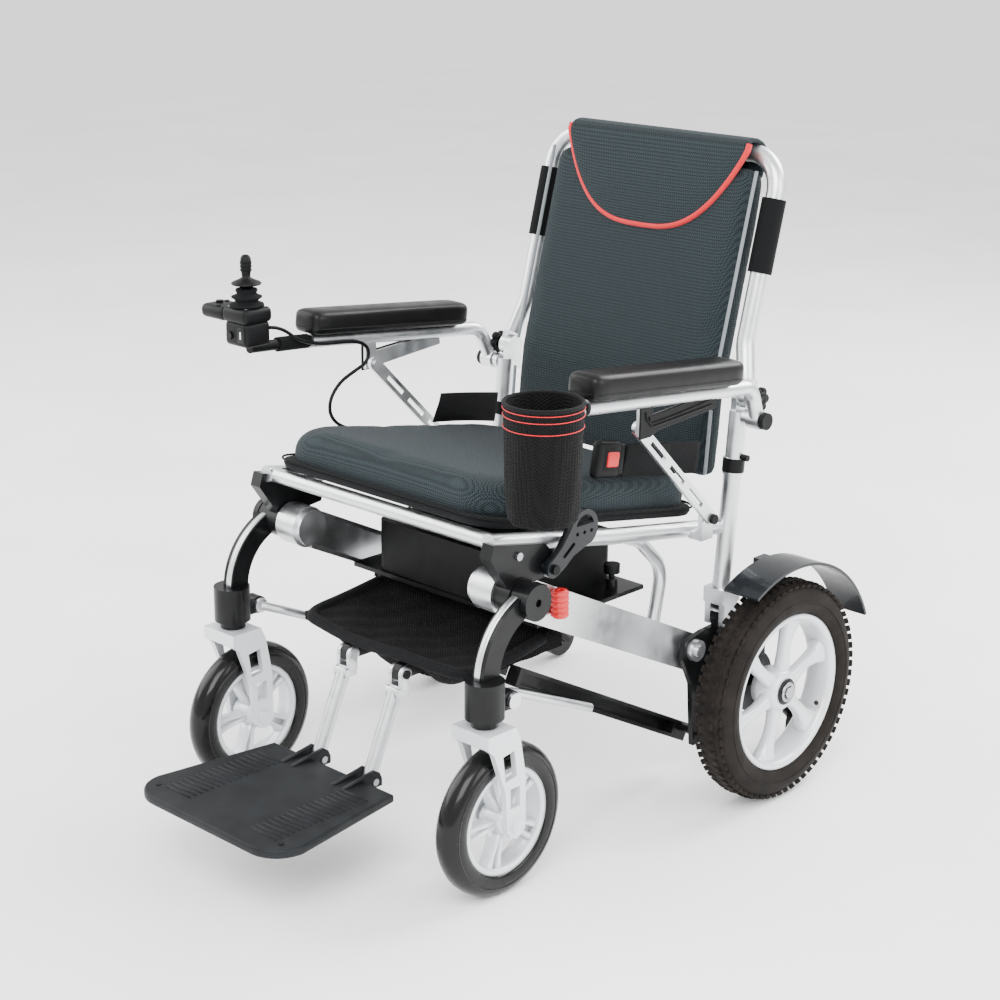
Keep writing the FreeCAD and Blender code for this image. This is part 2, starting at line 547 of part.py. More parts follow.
high_back = box("back_high_block", (-185, 2, 548), (185, 44, 846), BACK_TILT, PIVOT)
high_round = rounded("back_high_round", high_back, 14, lambda e: e.BoundBox.XLength < 1
                     and e.BoundBox.YLength < 85 and e.BoundBox.ZLength > 200)
back_tube = tube("back_tube_run", [at(213, 21), at(200, 70), at(200, 322), at(-200, 322), at(-200, 70),
                                   at(-213, 21)], "frame_tube_r", 50)
back_parts = [back_tube]
for side, x0, x1, xk in (("l", 215.3, 226, 228), ("r", -226, -215.3, -240)):
    back_parts.append(cut("back_knuckle_" + side, fuse("back_knuckle_all_" + side, [
        cyl("back_knuckle_round_" + side, 15, 10.7, (x0, 28, 541), (1, 0, 0)),
        box("back_knuckle_block_" + side, (x0, 18, 541), (x1, 38, 566), BACK_TILT, PIVOT)]),
        [cyl("back_knuckle_bore_" + side, "5 + running_fit", 40, (x0 - 10, 28, 541), (1, 0, 0))]))
node(fuse("back_tube_all", back_parts), "back_tube")
tube_room = tube("back_tube_room", [at(213, 21), at(200, 70), at(200, 322), at(-200, 322), at(-200, 70),
                                    at(-213, 21)], "frame_tube_r + 0.5", 50)
node(cut("back_high_cut", high_round, [tube_room]), "back_cushion_upper")
flap = fuse("flap_all", [box("flap_front", (-163, -18, 735), (163, -1, 884), BACK_TILT, PIVOT),
                         box("flap_top", (-163, -18, 876), (163, 50, 886), BACK_TILT, PIVOT)])
node(flap, "headrest_flap")

# ---- armrests, struts, cup holder ----
arm_tube_run = tube("arm_tube_run", [(246, 17, 517), (250, -4, 566), (250, -335, 599.6)], "arm_tube_r", 30)
arm_knuckle = cyl("arm_knuckle", 13, 20, (236, 17, 517), (1, 0, 0))
arm_l = plate("arm_bracket_flat", [(-234, 582), (-214, 580), (-214, 566), (-90, 574), (-88, 556), (-234, 543)], 247, 6)
strut_pin = cyl("strut_pin", 4, 13, (236, -224, 551), (1, 0, 0))
arm_bore_2 = cyl("arm_knuckle_bore", "small_pin_r + running_fit", 40, (230, 17, 517), (1, 0, 0))
arm_left = cut("arm_frame_cut", fuse("arm_frame_all", [arm_tube_run, arm_knuckle, arm_l, strut_pin]), [arm_bore_2])
pair(arm_left, "armrest_tube")
pad_tool = tube("pad_tube_tool", [(246, 17, 517), (250, -4, 566), (250, -335, 599.6)], "arm_tube_r", 30)
pad_box = box("arm_pad_block", (224, -345, 611), (276, -48, 645), -6, (0, -345, 611))
pad_round = rounded("arm_pad_round", pad_box, 9, lambda e: abs(e.BoundBox.YLength - 299) < 6)
pair(cut("arm_pad_cut", pad_round, [pad_tool]), "armrest_pad")
strut_bar = box("strut_bar", (238.3, -224, 542), (244, -5, 560), -44.6, (0, -224, 551))
strut_cuts = [cyl("strut_bore", "4 + running_fit", 20, (230, -224, 551), (1, 0, 0)),
              cyl("strut_notch", 5.5, 20, (230, -68, 397), (1, 0, 0))]
for i in range(3):
    strut_cuts.append(box("strut_slot_%d" % i, (230, -190 + 56 * i, 548), (250, -150 + 56 * i, 554),
                          -44.6, (0, -224, 551)))
strut_eye = cyl("strut_eye", 9, 5.7, (238.3, -224, 551), (1, 0, 0))
pair(cut("strut_cut", fuse("strut_all", [strut_bar, strut_eye]), strut_cuts), "arm_strut")
CUP = (257, -416)
cup_wall = cut("cup_wall", cyl("cup_out", 50, 150, (CUP[0], CUP[1], 475), (0, 0, 1)),
               [cyl("cup_in", 47, 150, (CUP[0], CUP[1], 478), (0, 0, 1))])
cup_clamp = cut("cup_clamp_cut", box("cup_clamp", (243, -380, 590), (257, -335.2, 608)),
                [cyl("cup_clamp_tool", 49, 200, (CUP[0], CUP[1], 450), (0, 0, 1)),
                 tube("cup_tube_tool", [(250, -4, 566), (250, -335, 599.6)], "arm_tube_r", 30)])
node(fuse("cup_all", [cup_wall, cup_clamp]), "cup_holder")

# ---- joystick box on the right armrest ----
JX = -257
case = rounded("joy_case", box("joy_block", (-281, -459, 610), (-233, -413, 662)), 9,
               lambda e: e.BoundBox.ZLength > 40)
bar = cyl("joy_bar", 8, 104, (-250, -335.2, 600.2), (0, -104.8, 7))
pod = box("joy_pod", (-330, -458, 640), (-278, -414, 658))
case_cuts = [cyl("joy_well", 14, 12, (JX, -436, 652), (0, 0, 1)),
             cyl("joy_button_hole", 5.2, 5, (-314, -436, 654), (0, 0, 1)),
             cyl("joy_socket", 6, 12, (JX, -463, 624), (0, 1, 0))]
node(cut("joystick_box_cut", fuse("joystick_box_all", [case, bar, pod]), case_cuts), "joystick_box")
boot = cut("boot_cut", cone("boot_out", 22, 17, 24, (JX, -436, 662)), [cyl("boot_in", 14, 30, (JX, -436, 660), (0, 0, 1))])
node(boot, "joystick_boot")
gimbal_solid = fuse("gimbal_solid", [cyl("gimbal_ring", 6, 7, (JX, -439.5, 659), (0, 1, 0)),
                                     cyl("gimbal_trunnions", 2.5, 20, (JX - 10, -436, 659), (1, 0, 0))])
node(cut("gimbal_cut", gimbal_solid,
         [cyl("gimbal_bore", "2 + running_fit", 20, (JX, -446, 659), (0, 1, 0))]), "joystick_gimbal")
stick = fuse("stick_all", [cyl("stick_pin", 2, 12, (JX, -442, 659), (0, 1, 0)),
                           box("stick_cheek_a", (JX - 2, -442, 657), (JX + 2, -439.8, 670)),
                           box("stick_cheek_b", (JX - 2, -432.2, 657), (JX + 2, -430, 670)),
                           box("stick_bridge", (JX - 2, -442, 666), (JX + 2, -430, 674)),
                           cyl("stick_rod", 4.5, 46, (JX, -436, 672), (0, 0, 1)),
                           cone("stick_skirt", 20, 8, 10, (JX, -436, 691)),
                           cone("stick_neck", 6, 7, 12, (JX, -436, 700)),
                           cyl("stick_top", 7.5, 20, (JX, -436, 711), (0, 0, 1))])
node(stick, "joystick_stick")
node(fuse("button_all", [cyl("button_stem", 5, 4, (-314, -436, 656), (0, 0, 1)),
                         cyl("button_cap", 5, 1.5, (-314, -436, 660), (0, 0, 1))]), "power_button")
cable_points = [(-240, -413, 632), (-240, -394, 630), (-235, -366, 607), (-233, -330, 597), (-233, -290, 594),
                (-233, -254, 588), (-233, -240, 574), (-233, -245, 557), (-233, -268, 549), (-233, -296, 538),
                (-233, -314, 518), (-233, -316, 496), (-233, -300, 477), (-233, -268, 464), (-233, -224, 455),
                (-233, -180, 449), (-228, -150, 442), (-213, -126, 429), (-213, -126, 404.2)]
node(tube("cable", cable_points, 2.5, 60), "joystick_cable")

# ---- lap belt ----


def on_seat(y, z):
    """A point drawn on a level seat, carried to the tilted one."""
    a = math.radians(-SEAT_TILT)
    dy = y - SEAT[1]
    dz = z - SEAT[2]
    return SEAT[1] + dy * math.cos(a) + dz * math.sin(a), SEAT[2] - dy * math.sin(a) + dz * math.cos(a)


node(box("belt_right_strap", (-190.6, -150, 515.4), (-186, -40, 556), SEAT_TILT, SEAT), "belt_right")
belt = box("belt_left_strap", (186, -205, 515.4), (190.6, -40, 558), SEAT_TILT, SEAT)
buckle = box("belt_buckle", (180, -258, 515.4), (197, -202, 565), SEAT_TILT, SEAT)
by, bz = on_seat(-230, 541)
well = cyl("belt_button_well", 10.2, 12, (190, by, bz), (1, 0, 0))
node(cut("belt_cut", fuse("belt_all", [belt, buckle]), [well]), "belt_left")
node(fuse("belt_button_all", [cyl("belt_button_round", 10, 4, (193.5, by, bz), (1, 0, 0)),
                              cyl("belt_button_top", 8, 5, (193.5, by, bz), (1, 0, 0))]), "belt_button")

# ---- check and write ----
doc.recompute()
for obj in doc.Objects:
    bad = [s for s in obj.State if s in ("Invalid", "Error")]
    if bad:
        raise RuntimeError("%s is %s" % (obj.Name, bad))
for obj in nodes:
    if obj.Shape.isNull() or not obj.Shape.isValid():
        raise RuntimeError("%s has no valid shape" % obj.Label)
os.makedirs("parts", exist_ok=True)
for obj in nodes:
    obj.Shape.exportStep(os.path.join("parts", obj.Label + ".step"))
    box_now = obj.Shape.BoundBox
    print("%-24s solids %d  x %.1f..%.1f  y %.1f..%.1f  z %.1f..%.1f" % (
        obj.Label, len(obj.Shape.Solids), box_now.XMin, box_now.XMax, box_now.YMin, box_now.YMax,
        box_now.ZMin, box_now.ZMax))
print(len(nodes), "pieces written")
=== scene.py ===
# %% [markdown]
# # A folding power wheelchair
# The CAD model comes in as a fixed frame: metal, wheels and brackets already sit where they belong.
# We give each of them a real material, and build the soft and finely shaped pieces again in mesh
# code. Everything is in metres, with the chair facing -Y and the floor at z = 0.

# %% Load the frame
import bpy
import bmesh
import math
from mathutils import Matrix, Vector


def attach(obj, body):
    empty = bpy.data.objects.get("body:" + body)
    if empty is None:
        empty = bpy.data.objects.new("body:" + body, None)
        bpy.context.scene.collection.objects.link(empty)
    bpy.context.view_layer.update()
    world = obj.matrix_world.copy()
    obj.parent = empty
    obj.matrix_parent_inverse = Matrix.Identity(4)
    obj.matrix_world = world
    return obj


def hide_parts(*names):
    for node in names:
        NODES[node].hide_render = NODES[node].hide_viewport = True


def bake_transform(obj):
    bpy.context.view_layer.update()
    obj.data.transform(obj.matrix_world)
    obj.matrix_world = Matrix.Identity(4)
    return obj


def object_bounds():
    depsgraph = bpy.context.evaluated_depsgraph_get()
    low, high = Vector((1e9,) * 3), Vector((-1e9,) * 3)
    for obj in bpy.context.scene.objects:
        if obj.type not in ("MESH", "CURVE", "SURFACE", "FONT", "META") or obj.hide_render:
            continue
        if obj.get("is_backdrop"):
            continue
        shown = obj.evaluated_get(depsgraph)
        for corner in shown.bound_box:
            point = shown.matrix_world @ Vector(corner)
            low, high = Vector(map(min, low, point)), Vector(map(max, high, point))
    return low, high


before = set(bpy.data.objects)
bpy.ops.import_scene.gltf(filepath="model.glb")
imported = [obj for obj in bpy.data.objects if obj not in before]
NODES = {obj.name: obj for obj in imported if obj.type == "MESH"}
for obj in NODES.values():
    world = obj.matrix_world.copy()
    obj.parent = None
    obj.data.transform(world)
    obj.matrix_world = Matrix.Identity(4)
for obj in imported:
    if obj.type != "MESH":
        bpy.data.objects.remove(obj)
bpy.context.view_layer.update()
AXLE_Y = 0.271

# %% [markdown]
# ## Camera and lights
# The camera stands in front and to the user's left, a little above the seat, with a long lens so
# the chair keeps its proportions. Its three axes are worked out from two angles, which is easier to
# adjust than a rotation typed in. Four large soft lights and a pale sky copy a white studio.

# %% Camera and lights
LENS_MM = 74.5
CAMERA_AT = (1.8348, -1.875, 1.2363)
CAMERA_ROUND = 43.6
CAMERA_UP = 17.4
CAMERA_ROLL = 0.4
SKY_STRENGTH = 1.55


def linked(name, data):
    """A new object for this data, put in the scene."""
    obj = bpy.data.objects.new(name, data)
    bpy.context.collection.objects.link(obj)
    return obj


cam_data = bpy.data.cameras.new("camera")
cam_data.lens = LENS_MM
cam_data.sensor_width = 36
cam = linked("camera", cam_data)
az = math.radians(CAMERA_ROUND)
el = math.radians(CAMERA_UP)
back = Vector((math.sin(az) * math.cos(el), -math.cos(az) * math.cos(el), math.sin(el)))
right = (-back).cross(Vector((0, 0, 1))).normalized()
up = right.cross(-back)
turn = Matrix((right, up, back)).transposed().to_4x4()
roll = Matrix.Rotation(math.radians(CAMERA_ROLL), 4, "Z")
cam.matrix_world = Matrix.Translation(CAMERA_AT) @ turn @ roll
bpy.context.scene.camera = cam


def area_light(name, place, aim, size, watts):
    """A square soft light at place, turned to shine at aim."""
    data = bpy.data.lights.new(name, "AREA")
    data.size = size
    data.energy = watts
    lamp = linked(name, data)
    lamp.location = place
    lamp.rotation_euler = (Vector(aim) - Vector(place)).to_track_quat("-Z", "Y").to_euler()


area_light("key", (1.6, -2.4, 3.0), (0, 0, 0.4), 2.4, 210)
area_light("fill", (-2.8, -1.4, 2.0), (0, 0, 0.4), 2.6, 110)
area_light("rim", (0.6, 2.8, 2.6), (0, 0, 0.5), 2.2, 190)
area_light("side", (2.8, 0.6, 1.6), (0, 0, 0.4), 1.8, 60)
world = bpy.data.worlds.new("studio")
bpy.context.scene.world = world
world.use_nodes = True
world.node_tree.nodes["Background"].inputs["Color"].default_value = (1, 1, 1, 1)
world.node_tree.nodes["Background"].inputs["Strength"].default_value = SKY_STRENGTH
print("camera and lights are in")

# %% [markdown]
# ## Materials
# Each material is named for the real stuff. Colours are written as the hex codes a paint chart
# would give and turned to linear light by one function. Pattern sizes are in millimetres: an object
# coordinate is in metres, so a wave every 4 mm needs 2*pi/0.004 radians a metre.

# %% Material helpers
# A dark piece shows mostly the pale sky in its surface, so black paint would look grey. Below this
# linear brightness a non-metal reflects less.
DARK_BELOW = 0.05
DARK_SPECULAR = 0.14


def lin(code, alpha=1.0):
    """sRGB hex to linear colour."""
    out = []
    for i in (0, 2, 4):
        c = int(code[i:i + 2], 16) / 255
        out.append(c / 12.92 if c <= 0.04045 else ((c + 0.055) / 1.055) ** 2.4)
    return (*out, alpha)


def add(tree, kind, links=None, **values):
    """Add one shader node, link inputs given as sockets and set the rest."""
    n = tree.nodes.new(kind)
    for key, value in values.items():
        setattr(n, key, value)
    for key, value in (links or {}).items():
        if isinstance(value, bpy.types.NodeSocket):
            tree.links.new(value, n.inputs[key])
        else:
            n.inputs[key].default_value = value
    return n


def surface(name, colour, rough, metal=0.0, coat=0.0, sheen=0.0):
    """A material with its Principled shader and object coordinates, ready for detail."""
    m = bpy.data.materials.new(name)
    m.use_nodes = True
    t = m.node_tree
    b = t.nodes["Principled BSDF"]
    b.inputs["Base Color"].default_value = lin(colour)
    b.inputs["Roughness"].default_value = rough
    b.inputs["Metallic"].default_value = metal
    b.inputs["Coat Weight"].default_value = coat
    b.inputs["Sheen Weight"].default_value = sheen
    if metal == 0.0 and lin(colour)[0] < DARK_BELOW:
        b.inputs["Specular IOR Level"].default_value = DARK_SPECULAR
    m.diffuse_color = lin(colour)
    return m, t, b, add(t, "ShaderNodeTexCoord").outputs["Object"]


def colour_noise(t, b, coord, dark, light, size_mm):
    """Vary the base colour between two close shades over patches of size_mm."""
    n = add(t, "ShaderNodeTexNoise", {"Vector": coord, "Scale": 1000 / size_mm, "Detail": 4.0})
    r = add(t, "ShaderNodeValToRGB", {"Fac": n.outputs["Fac"]})
    r.color_ramp.elements[0].position = 0.35
    r.color_ramp.elements[1].position = 0.65
    r.color_ramp.elements[0].color = lin(dark)
    r.color_ramp.elements[1].color = lin(light)
    t.links.new(r.outputs["Color"], b.inputs["Base Color"])


def rough_noise(t, b, coord, low, high, size_mm):
    """Vary the roughness between two values over patches of size_mm."""
    n = add(t, "ShaderNodeTexNoise", {"Vector": coord, "Scale": 1000 / size_mm, "Detail": 5.0})
    r = add(t, "ShaderNodeMapRange", {"Value": n.outputs["Fac"], "From Min": 0.3, "From Max": 0.7,
                                      "To Min": low, "To Max": high})
    t.links.new(r.outputs["Result"], b.inputs["Roughness"])


def bump(t, b, height, depth_mm, strength):
    """Let a height pattern tilt the light as if it were depth_mm deep."""
    n = add(t, "ShaderNodeBump", {"Height": height, "Distance": depth_mm / 1000, "Strength": strength})
    t.links.new(n.outputs["Normal"], b.inputs["Normal"])


def knit(t, coord, pitch_mm):
    """A regular air-mesh knit: waves along X, Y and Z multiplied in pairs, so every face shows it."""
    k = 2 * math.pi * 1000 / pitch_mm
    axes = add(t, "ShaderNodeSeparateXYZ", {"Vector": coord})
    wave = {}
    for axis in "XYZ":
        big = add(t, "ShaderNodeMath", {0: axes.outputs[axis], 1: k}, operation="MULTIPLY").outputs[0]
        wave["s" + axis] = add(t, "ShaderNodeMath", {0: big}, operation="SINE").outputs[0]
        wave["c" + axis] = add(t, "ShaderNodeMath", {0: big}, operation="COSINE").outputs[0]
    total = None
    for a, c in (("X", "Y"), ("Y", "Z"), ("Z", "X")):
        part = add(t, "ShaderNodeMath", {0: wave["s" + a], 1: wave["c" + c]}, operation="MULTIPLY")
        if total is None:
            total = part.outputs[0]
        else:
            total = add(t, "ShaderNodeMath", {0: total, 1: part.outputs[0]}, operation="ADD").outputs[0]
    return total


def knit_cloth(name, dark, light, pitch_mm, depth_mm, sheen):
    """Polyester air mesh: the open cells are painted darker than the threads round them, as painted shade in
    the hollows of the knit.
    """
    m, t, b, co = surface(name, light, 0.85, sheen=sheen)
    b.inputs["Sheen Roughness"].default_value = 0.5
    cells = knit(t, co, pitch_mm)
    # painted shade: the base colour goes dark where the knit pattern is low, the same pattern that drives the
    # bump
    r = add(t, "ShaderNodeValToRGB", {"Fac": add(t, "ShaderNodeMapRange", {
        "Value": cells, "From Min": -1.2, "From Max": 1.2}).outputs["Result"]})
    r.color_ramp.elements[0].color = lin(dark)
    r.color_ramp.elements[1].color = lin(light)
    t.links.new(r.outputs["Color"], b.inputs["Base Color"])
    bump(t, b, cells, depth_mm, 0.6)
    return m


# %% [markdown]
# ## Metals
# The tubes are anodised aluminium, the wheels and forks are castings painted silver, and the plates
# are castings painted black. All three share noise in the roughness, because a perfectly even metal
# looks like plastic. Bolts are zinc-plated steel, a little darker.

# %% Metals


def brushed(name, colour, rough):
    """Anodised aluminium tube: bright, satin, with faint cloudiness."""
    m, t, b, co = surface(name, colour, rough, metal=1.0)
    rough_noise(t, b, co, rough - 0.06, rough + 0.08, 18)
    fine = add(t, "ShaderNodeTexNoise", {"Vector": co, "Scale": 2500.0, "Detail": 2.0})
    bump(t, b, fine.outputs["Fac"], 0.01, 0.5)
    return m


SILVER = brushed("satin_anodised_aluminium", "D9DBDD", 0.34)
# silver paint holds metal flakes under a clear coat, so it is part metal and has a soft shine
m, t, b, co = surface("silver_painted_casting", "D3D6D9", 0.38, metal=0.35, coat=0.25)
rough_noise(t, b, co, 0.3, 0.46, 12)
CAST = m
STEEL = brushed("zinc_plated_steel", "9EA1A3", 0.3)
# powder paint: deep black with a fine orange peel that breaks up each highlight
m, t, b, co = surface("black_painted_casting", "0A0A0B", 0.4, coat=0.12)
colour_noise(t, b, co, "070708", "0E0F10", 30)
orange_peel = add(t, "ShaderNodeTexNoise", {"Vector": co, "Scale": 700.0, "Detail": 2.0})
bump(t, b, orange_peel.outputs["Fac"], 0.05, 0.5)
BLACK_PAINT = m
print("metals: %s, %s, %s, %s" % (SILVER.name, CAST.name, STEEL.name, BLACK_PAINT.name))

# %% [markdown]
# ## Rubbers and plastics
# Most of these are nearly black, so the eye tells them apart by their shine and by the size of their
# grain, not by their colour. Each one gets its own roughness and its own small bump.

# %% Rubbers and plastics
# vulcanised rubber: brownish black, dull, with dusty grit
m, t, b, co = surface("tyre_rubber", "15110F", 0.78)
colour_noise(t, b, co, "110E0C", "1C1815", 25)
grit = add(t, "ShaderNodeTexNoise", {"Vector": co, "Scale": 900.0, "Detail": 3.0})
bump(t, b, grit.outputs["Fac"], 0.15, 0.6)
TYRE = m
# cast polyurethane: smooth and wet-looking
m, t, b, co = surface("caster_polyurethane", "060606", 0.26, coat=0.2)
rough_noise(t, b, co, 0.18, 0.36, 30)
PU_BLACK = m
# moulded ABS: satin, with the leather grain of its mould
m, t, b, co = surface("moulded_black_plastic", "08090A", 0.48)
colour_noise(t, b, co, "060607", "0C0D0E", 20)
grain = add(t, "ShaderNodeTexVoronoi", {"Vector": co, "Scale": 900.0})
bump(t, b, grain.outputs["Distance"], 0.06, 0.5)
PLASTIC = m
# polished ABS: dark grey with long clear highlights
m, t, b, co = surface("glossy_grey_plastic", "14171A", 0.3, coat=0.2)
rough_noise(t, b, co, 0.2, 0.36, 40)
GREY_GLOSS = m
# glass-filled nylon: charcoal and matt, with coarser grain
m, t, b, co = surface("charcoal_footplate_plastic", "17191B", 0.5)
colour_noise(t, b, co, "131416", "1B1D1F", 35)
grain = add(t, "ShaderNodeTexVoronoi", {"Vector": co, "Scale": 600.0})
bump(t, b, grain.outputs["Distance"], 0.08, 0.5)
FOOT = m
# integral-skin foam: a soft sheen over fine pores
m, t, b, co = surface("smooth_black_pu_skin", "09090A", 0.42, coat=0.08)
pores = add(t, "ShaderNodeTexVoronoi", {"Vector": co, "Scale": 1100.0})
bump(t, b, pores.outputs["Distance"], 0.07, 0.6)
rough_noise(t, b, co, 0.36, 0.5, 25)
PAD_SKIN = m
# open-cell foam: no shine, and cells a millimetre wide
m, t, b, co = surface("black_foam_sleeve", "0A0B0C", 0.85)
cells = add(t, "ShaderNodeTexVoronoi", {"Vector": co, "Scale": 1400.0})
bump(t, b, cells.outputs["Distance"], 0.15, 0.7)
FOAM = m
# dyed polypropylene: strong colour and a plain soft shine
m, t, b, co = surface("red_moulded_plastic", "C80E16", 0.36)
rough_noise(t, b, co, 0.3, 0.45, 15)
RED_PLASTIC = m
m, t, b, co = surface("yellow_moulded_plastic", "D8A21C", 0.4)
rough_noise(t, b, co, 0.32, 0.5, 15)
YELLOW = m
print("rubbers and plastics done")

# %% [markdown]
# ## Cloths and the floor's paint
# The cushions are polyester air mesh, a knit with rows of small open cells. The cell pitch and depth
# are the real ones where they show. The netting, piping cord and belt webbing use the same knit with
# another pitch. The studio floor is plain matt white.

# %% Cloths and the floor's paint
# each knit below carries painted shade in its open cells
MESH_CLOTH = knit_cloth("slate_air_mesh", "0D1113", "2C363A", 3.2, 0.5, 0.04)
DARK_MESH = knit_cloth("black_air_mesh", "050606", "111315", 3.2, 0.5, 0.02)
BAG_MESH = knit_cloth("black_open_netting", "010102", "0B0B0C", 4.5, 0.9, 0.01)
RED_CLOTH = knit_cloth("red_piping_cord", "A80812", "D8121E", 1.2, 0.15, 0.1)
GREY_PIPING = knit_cloth("grey_piping_cord", "5A6064", "868C90", 1.2, 0.15, 0.15)
WEBBING = knit_cloth("black_webbing", "050506", "111214", 1.6, 0.25, 0.02)
m, t, b, co = surface("white_studio_floor", "FFFFFF", 0.6)
colour_noise(t, b, co, "F8F8F8", "FFFFFF", 400)
FLOOR = m
print(len(bpy.data.materials), "materials")

# %% [markdown]
# ## Floor
# A wide white plane takes the shadows. It belongs to the studio and not to the chair, so it is marked as
# stage.

# %% Floor
bpy.ops.mesh.primitive_plane_add(size=14, location=(0, 0, 0))
floor = bpy.context.object
floor.name = "studio_floor"
floor.data.materials.append(FLOOR)
floor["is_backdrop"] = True
print("floor is in")

# %% [markdown]
# ## Give the CAD pieces their materials
# Where the CAD shape is already right, a piece only needs its surface. A table of name endings does
# that in one pass, and soft or finely shaped pieces are replaced further down.

# %% Materials for the carried-over pieces
CAD_LOOKS = [
    (("side_beam", "back_post", "seat_frame", "armrest_tube", "footrest_leg", "link_rod", "arm_strut",
      "back_tube"), SILVER),
    (("caster_fork", "rear_rim", "caster_rim"), CAST),
    (("front_arm", "rear_plate", "drive_motor", "link_channel", "hub_bracket", "battery_tray"), BLACK_PAINT),
    (("mudguard", "folding_lever"), GREY_GLOSS),
    (("footplate",), FOOT),
    (("battery_box", "release_knob", "joystick_box", "joystick_stick", "power_button", "joystick_boot"),
     PLASTIC),
    (("armrest_pad",), PAD_SKIN),
    (("seat_cushion", "back_cushion", "headrest_flap"), MESH_CLOTH),
    (("underseat_bag", "cup_holder", "belt_left", "belt_right"), WEBBING),
    (("belt_button",), RED_PLASTIC),
    (("joystick_cable", "rear_tyre"), TYRE),
    (("caster_tyre", "anti_tip_wheel"), PU_BLACK),
    (("joystick_gimbal",), STEEL),
]
for name, obj in NODES.items():
    for starts, look in CAD_LOOKS:
        if name.startswith(starts):
            obj.data.materials.clear()
            obj.data.materials.append(look)
print(sum(1 for o in NODES.values() if o.data.materials), "CAD pieces have a material")

# %% [markdown]
# ## Mesh tools
# Four short builders cover most pieces: turn a section about an axis, skin a row of rings, run a
# round cord along a line, and bevel a block. Two more join pieces and mirror them to the other side.

# %% Mesh tools


def plain_mesh(obj):
    """What an object makes with its modifiers or its curve settings, as a mesh of its own."""
    bpy.context.view_layer.update()
    return bpy.data.meshes.new_from_object(obj.evaluated_get(bpy.context.evaluated_depsgraph_get()))


def finish_mesh(name, bm, look, smooth=True):
    """Close a mesh under construction: faces point outwards and it gets its material."""
    bmesh.ops.recalc_face_normals(bm, faces=bm.faces)
    mesh = bpy.data.meshes.new(name)
    bm.to_mesh(mesh)
    bm.free()
    for p in mesh.polygons:
        p.use_smooth = smooth
    mesh.materials.append(look)
    return linked(name, mesh)


def lathe(name, profile, centre, look, steps=96, axis="X"):
    """Turn a closed section of (along, radius) in mm about an axis through centre (metres)."""
    bm = bmesh.new()
    rings = []
    for i in range(steps):
        a = 2 * math.pi * i / steps
        ring = []
        for along, r in profile:
            u = r / 1000 * math.cos(a)
            w = r / 1000 * math.sin(a)
            place = {"X": (along / 1000, u, w), "Z": (u, w, along / 1000)}[axis]
            ring.append(bm.verts.new(Vector(centre) + Vector(place)))
        rings.append(ring)
    count = len(profile)
    for i in range(steps):
        a, b = rings[i], rings[(i + 1) % steps]
        for j in range(count):
            k = (j + 1) % count
            bm.faces.new((a[j], a[k], b[k], b[j]))
    bmesh.ops.remove_doubles(bm, verts=bm.verts, dist=1e-6)
    return finish_mesh(name, bm, look)


def skin(name, rings, look, cap=True, smooth=True):
    """Join rows of points into a closed surface, one row after the other."""
    bm = bmesh.new()
    rows = [[bm.verts.new(p) for p in ring] for ring in rings]
    n = len(rows[0])
    for a, b in zip(rows, rows[1:]):
        for j in range(n):
            k = (j + 1) % n
            bm.faces.new((a[j], a[k], b[k], b[j]))
    if cap:
        bm.faces.new(rows[0])
        bm.faces.new(rows[-1])
    return finish_mesh(name, bm, look, smooth)


def smooth_line(name, points, radius, cyclic=False, resolution=6):
    """A round cord as a curve, on a smooth line led by metre points."""
    curve = bpy.data.curves.new(name, "CURVE")
    curve.dimensions = "3D"
    curve.bevel_depth = radius
    curve.bevel_resolution = 4
    curve.resolution_u = resolution
    curve.use_fill_caps = True
    spline = curve.splines.new("NURBS")
    spline.points.add(len(points) - 1)
    for p, q in zip(spline.points, points):
        p.co = (*q, 1)
    spline.order_u = 3
    spline.use_cyclic_u = cyclic
    spline.use_endpoint_u = not cyclic
    return curve


def from_curve(name, curve, look):
    """A finished mesh made from a curve, which is then dropped."""
    holder = linked(name + "_line", curve)
    mesh = plain_mesh(holder)
    bpy.data.objects.remove(holder)
    mesh.name = name
    mesh.materials.clear()
    mesh.materials.append(look)
    return linked(name, mesh)


def cord_curve(name, points, radius, look, cyclic=False, body=None):
    """A round cord as a finished mesh."""
    obj = from_curve(name, smooth_line(name, points, radius, cyclic), look)
    for p in obj.data.polygons:
        p.use_smooth = True
    if body:
        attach(obj, body)
    return obj


def rounded_block(name, low, high, radius, look, turn=None, segments=4):
    """A block with every edge rounded, turned by an optional matrix."""
    bm = bmesh.new()
    bmesh.ops.create_cube(bm, size=1)
    size = Vector(high) - Vector(low)
    mid = (Vector(high) + Vector(low)) / 2
    bmesh.ops.scale(bm, vec=size, verts=bm.verts)
    bmesh.ops.bevel(bm, geom=list(bm.edges), offset=radius, segments=segments, profile=0.5,
                    affect="EDGES")
    bmesh.ops.translate(bm, vec=mid, verts=bm.verts)
    if turn is not None:
        bmesh.ops.transform(bm, matrix=turn, verts=bm.verts)
    return finish_mesh(name, bm, look)


def join(name, pieces):
    """Several meshes made into one object."""
    bm = bmesh.new()
    looks = []
    for piece in pieces:
        for m in piece.data.materials:
            if m not in looks:
                looks.append(m)
        start = len(bm.faces)
        bm.from_mesh(piece.data)
        bm.faces.ensure_lookup_table()
        for f in bm.faces[start:]:
            f.material_index = looks.index(piece.data.materials[f.material_index])
    mesh = bpy.data.meshes.new(name)
    bm.to_mesh(mesh)
    bm.free()
    for m in looks:
        mesh.materials.append(m)
    for piece in pieces:
        bpy.data.objects.remove(piece)
    return linked(name, mesh)


def mirror_copy(obj, name):
    """The same piece on the chair's other side."""
    bm = bmesh.new()
    bm.from_mesh(obj.data)
    bmesh.ops.scale(bm, vec=(-1, 1, 1), verts=bm.verts)
    bmesh.ops.reverse_faces(bm, faces=bm.faces)
    mesh = bpy.data.meshes.new(name)
    bm.to_mesh(mesh)
    bm.free()
    for m in obj.data.materials:
        mesh.materials.append(m)
    return linked(name, mesh)


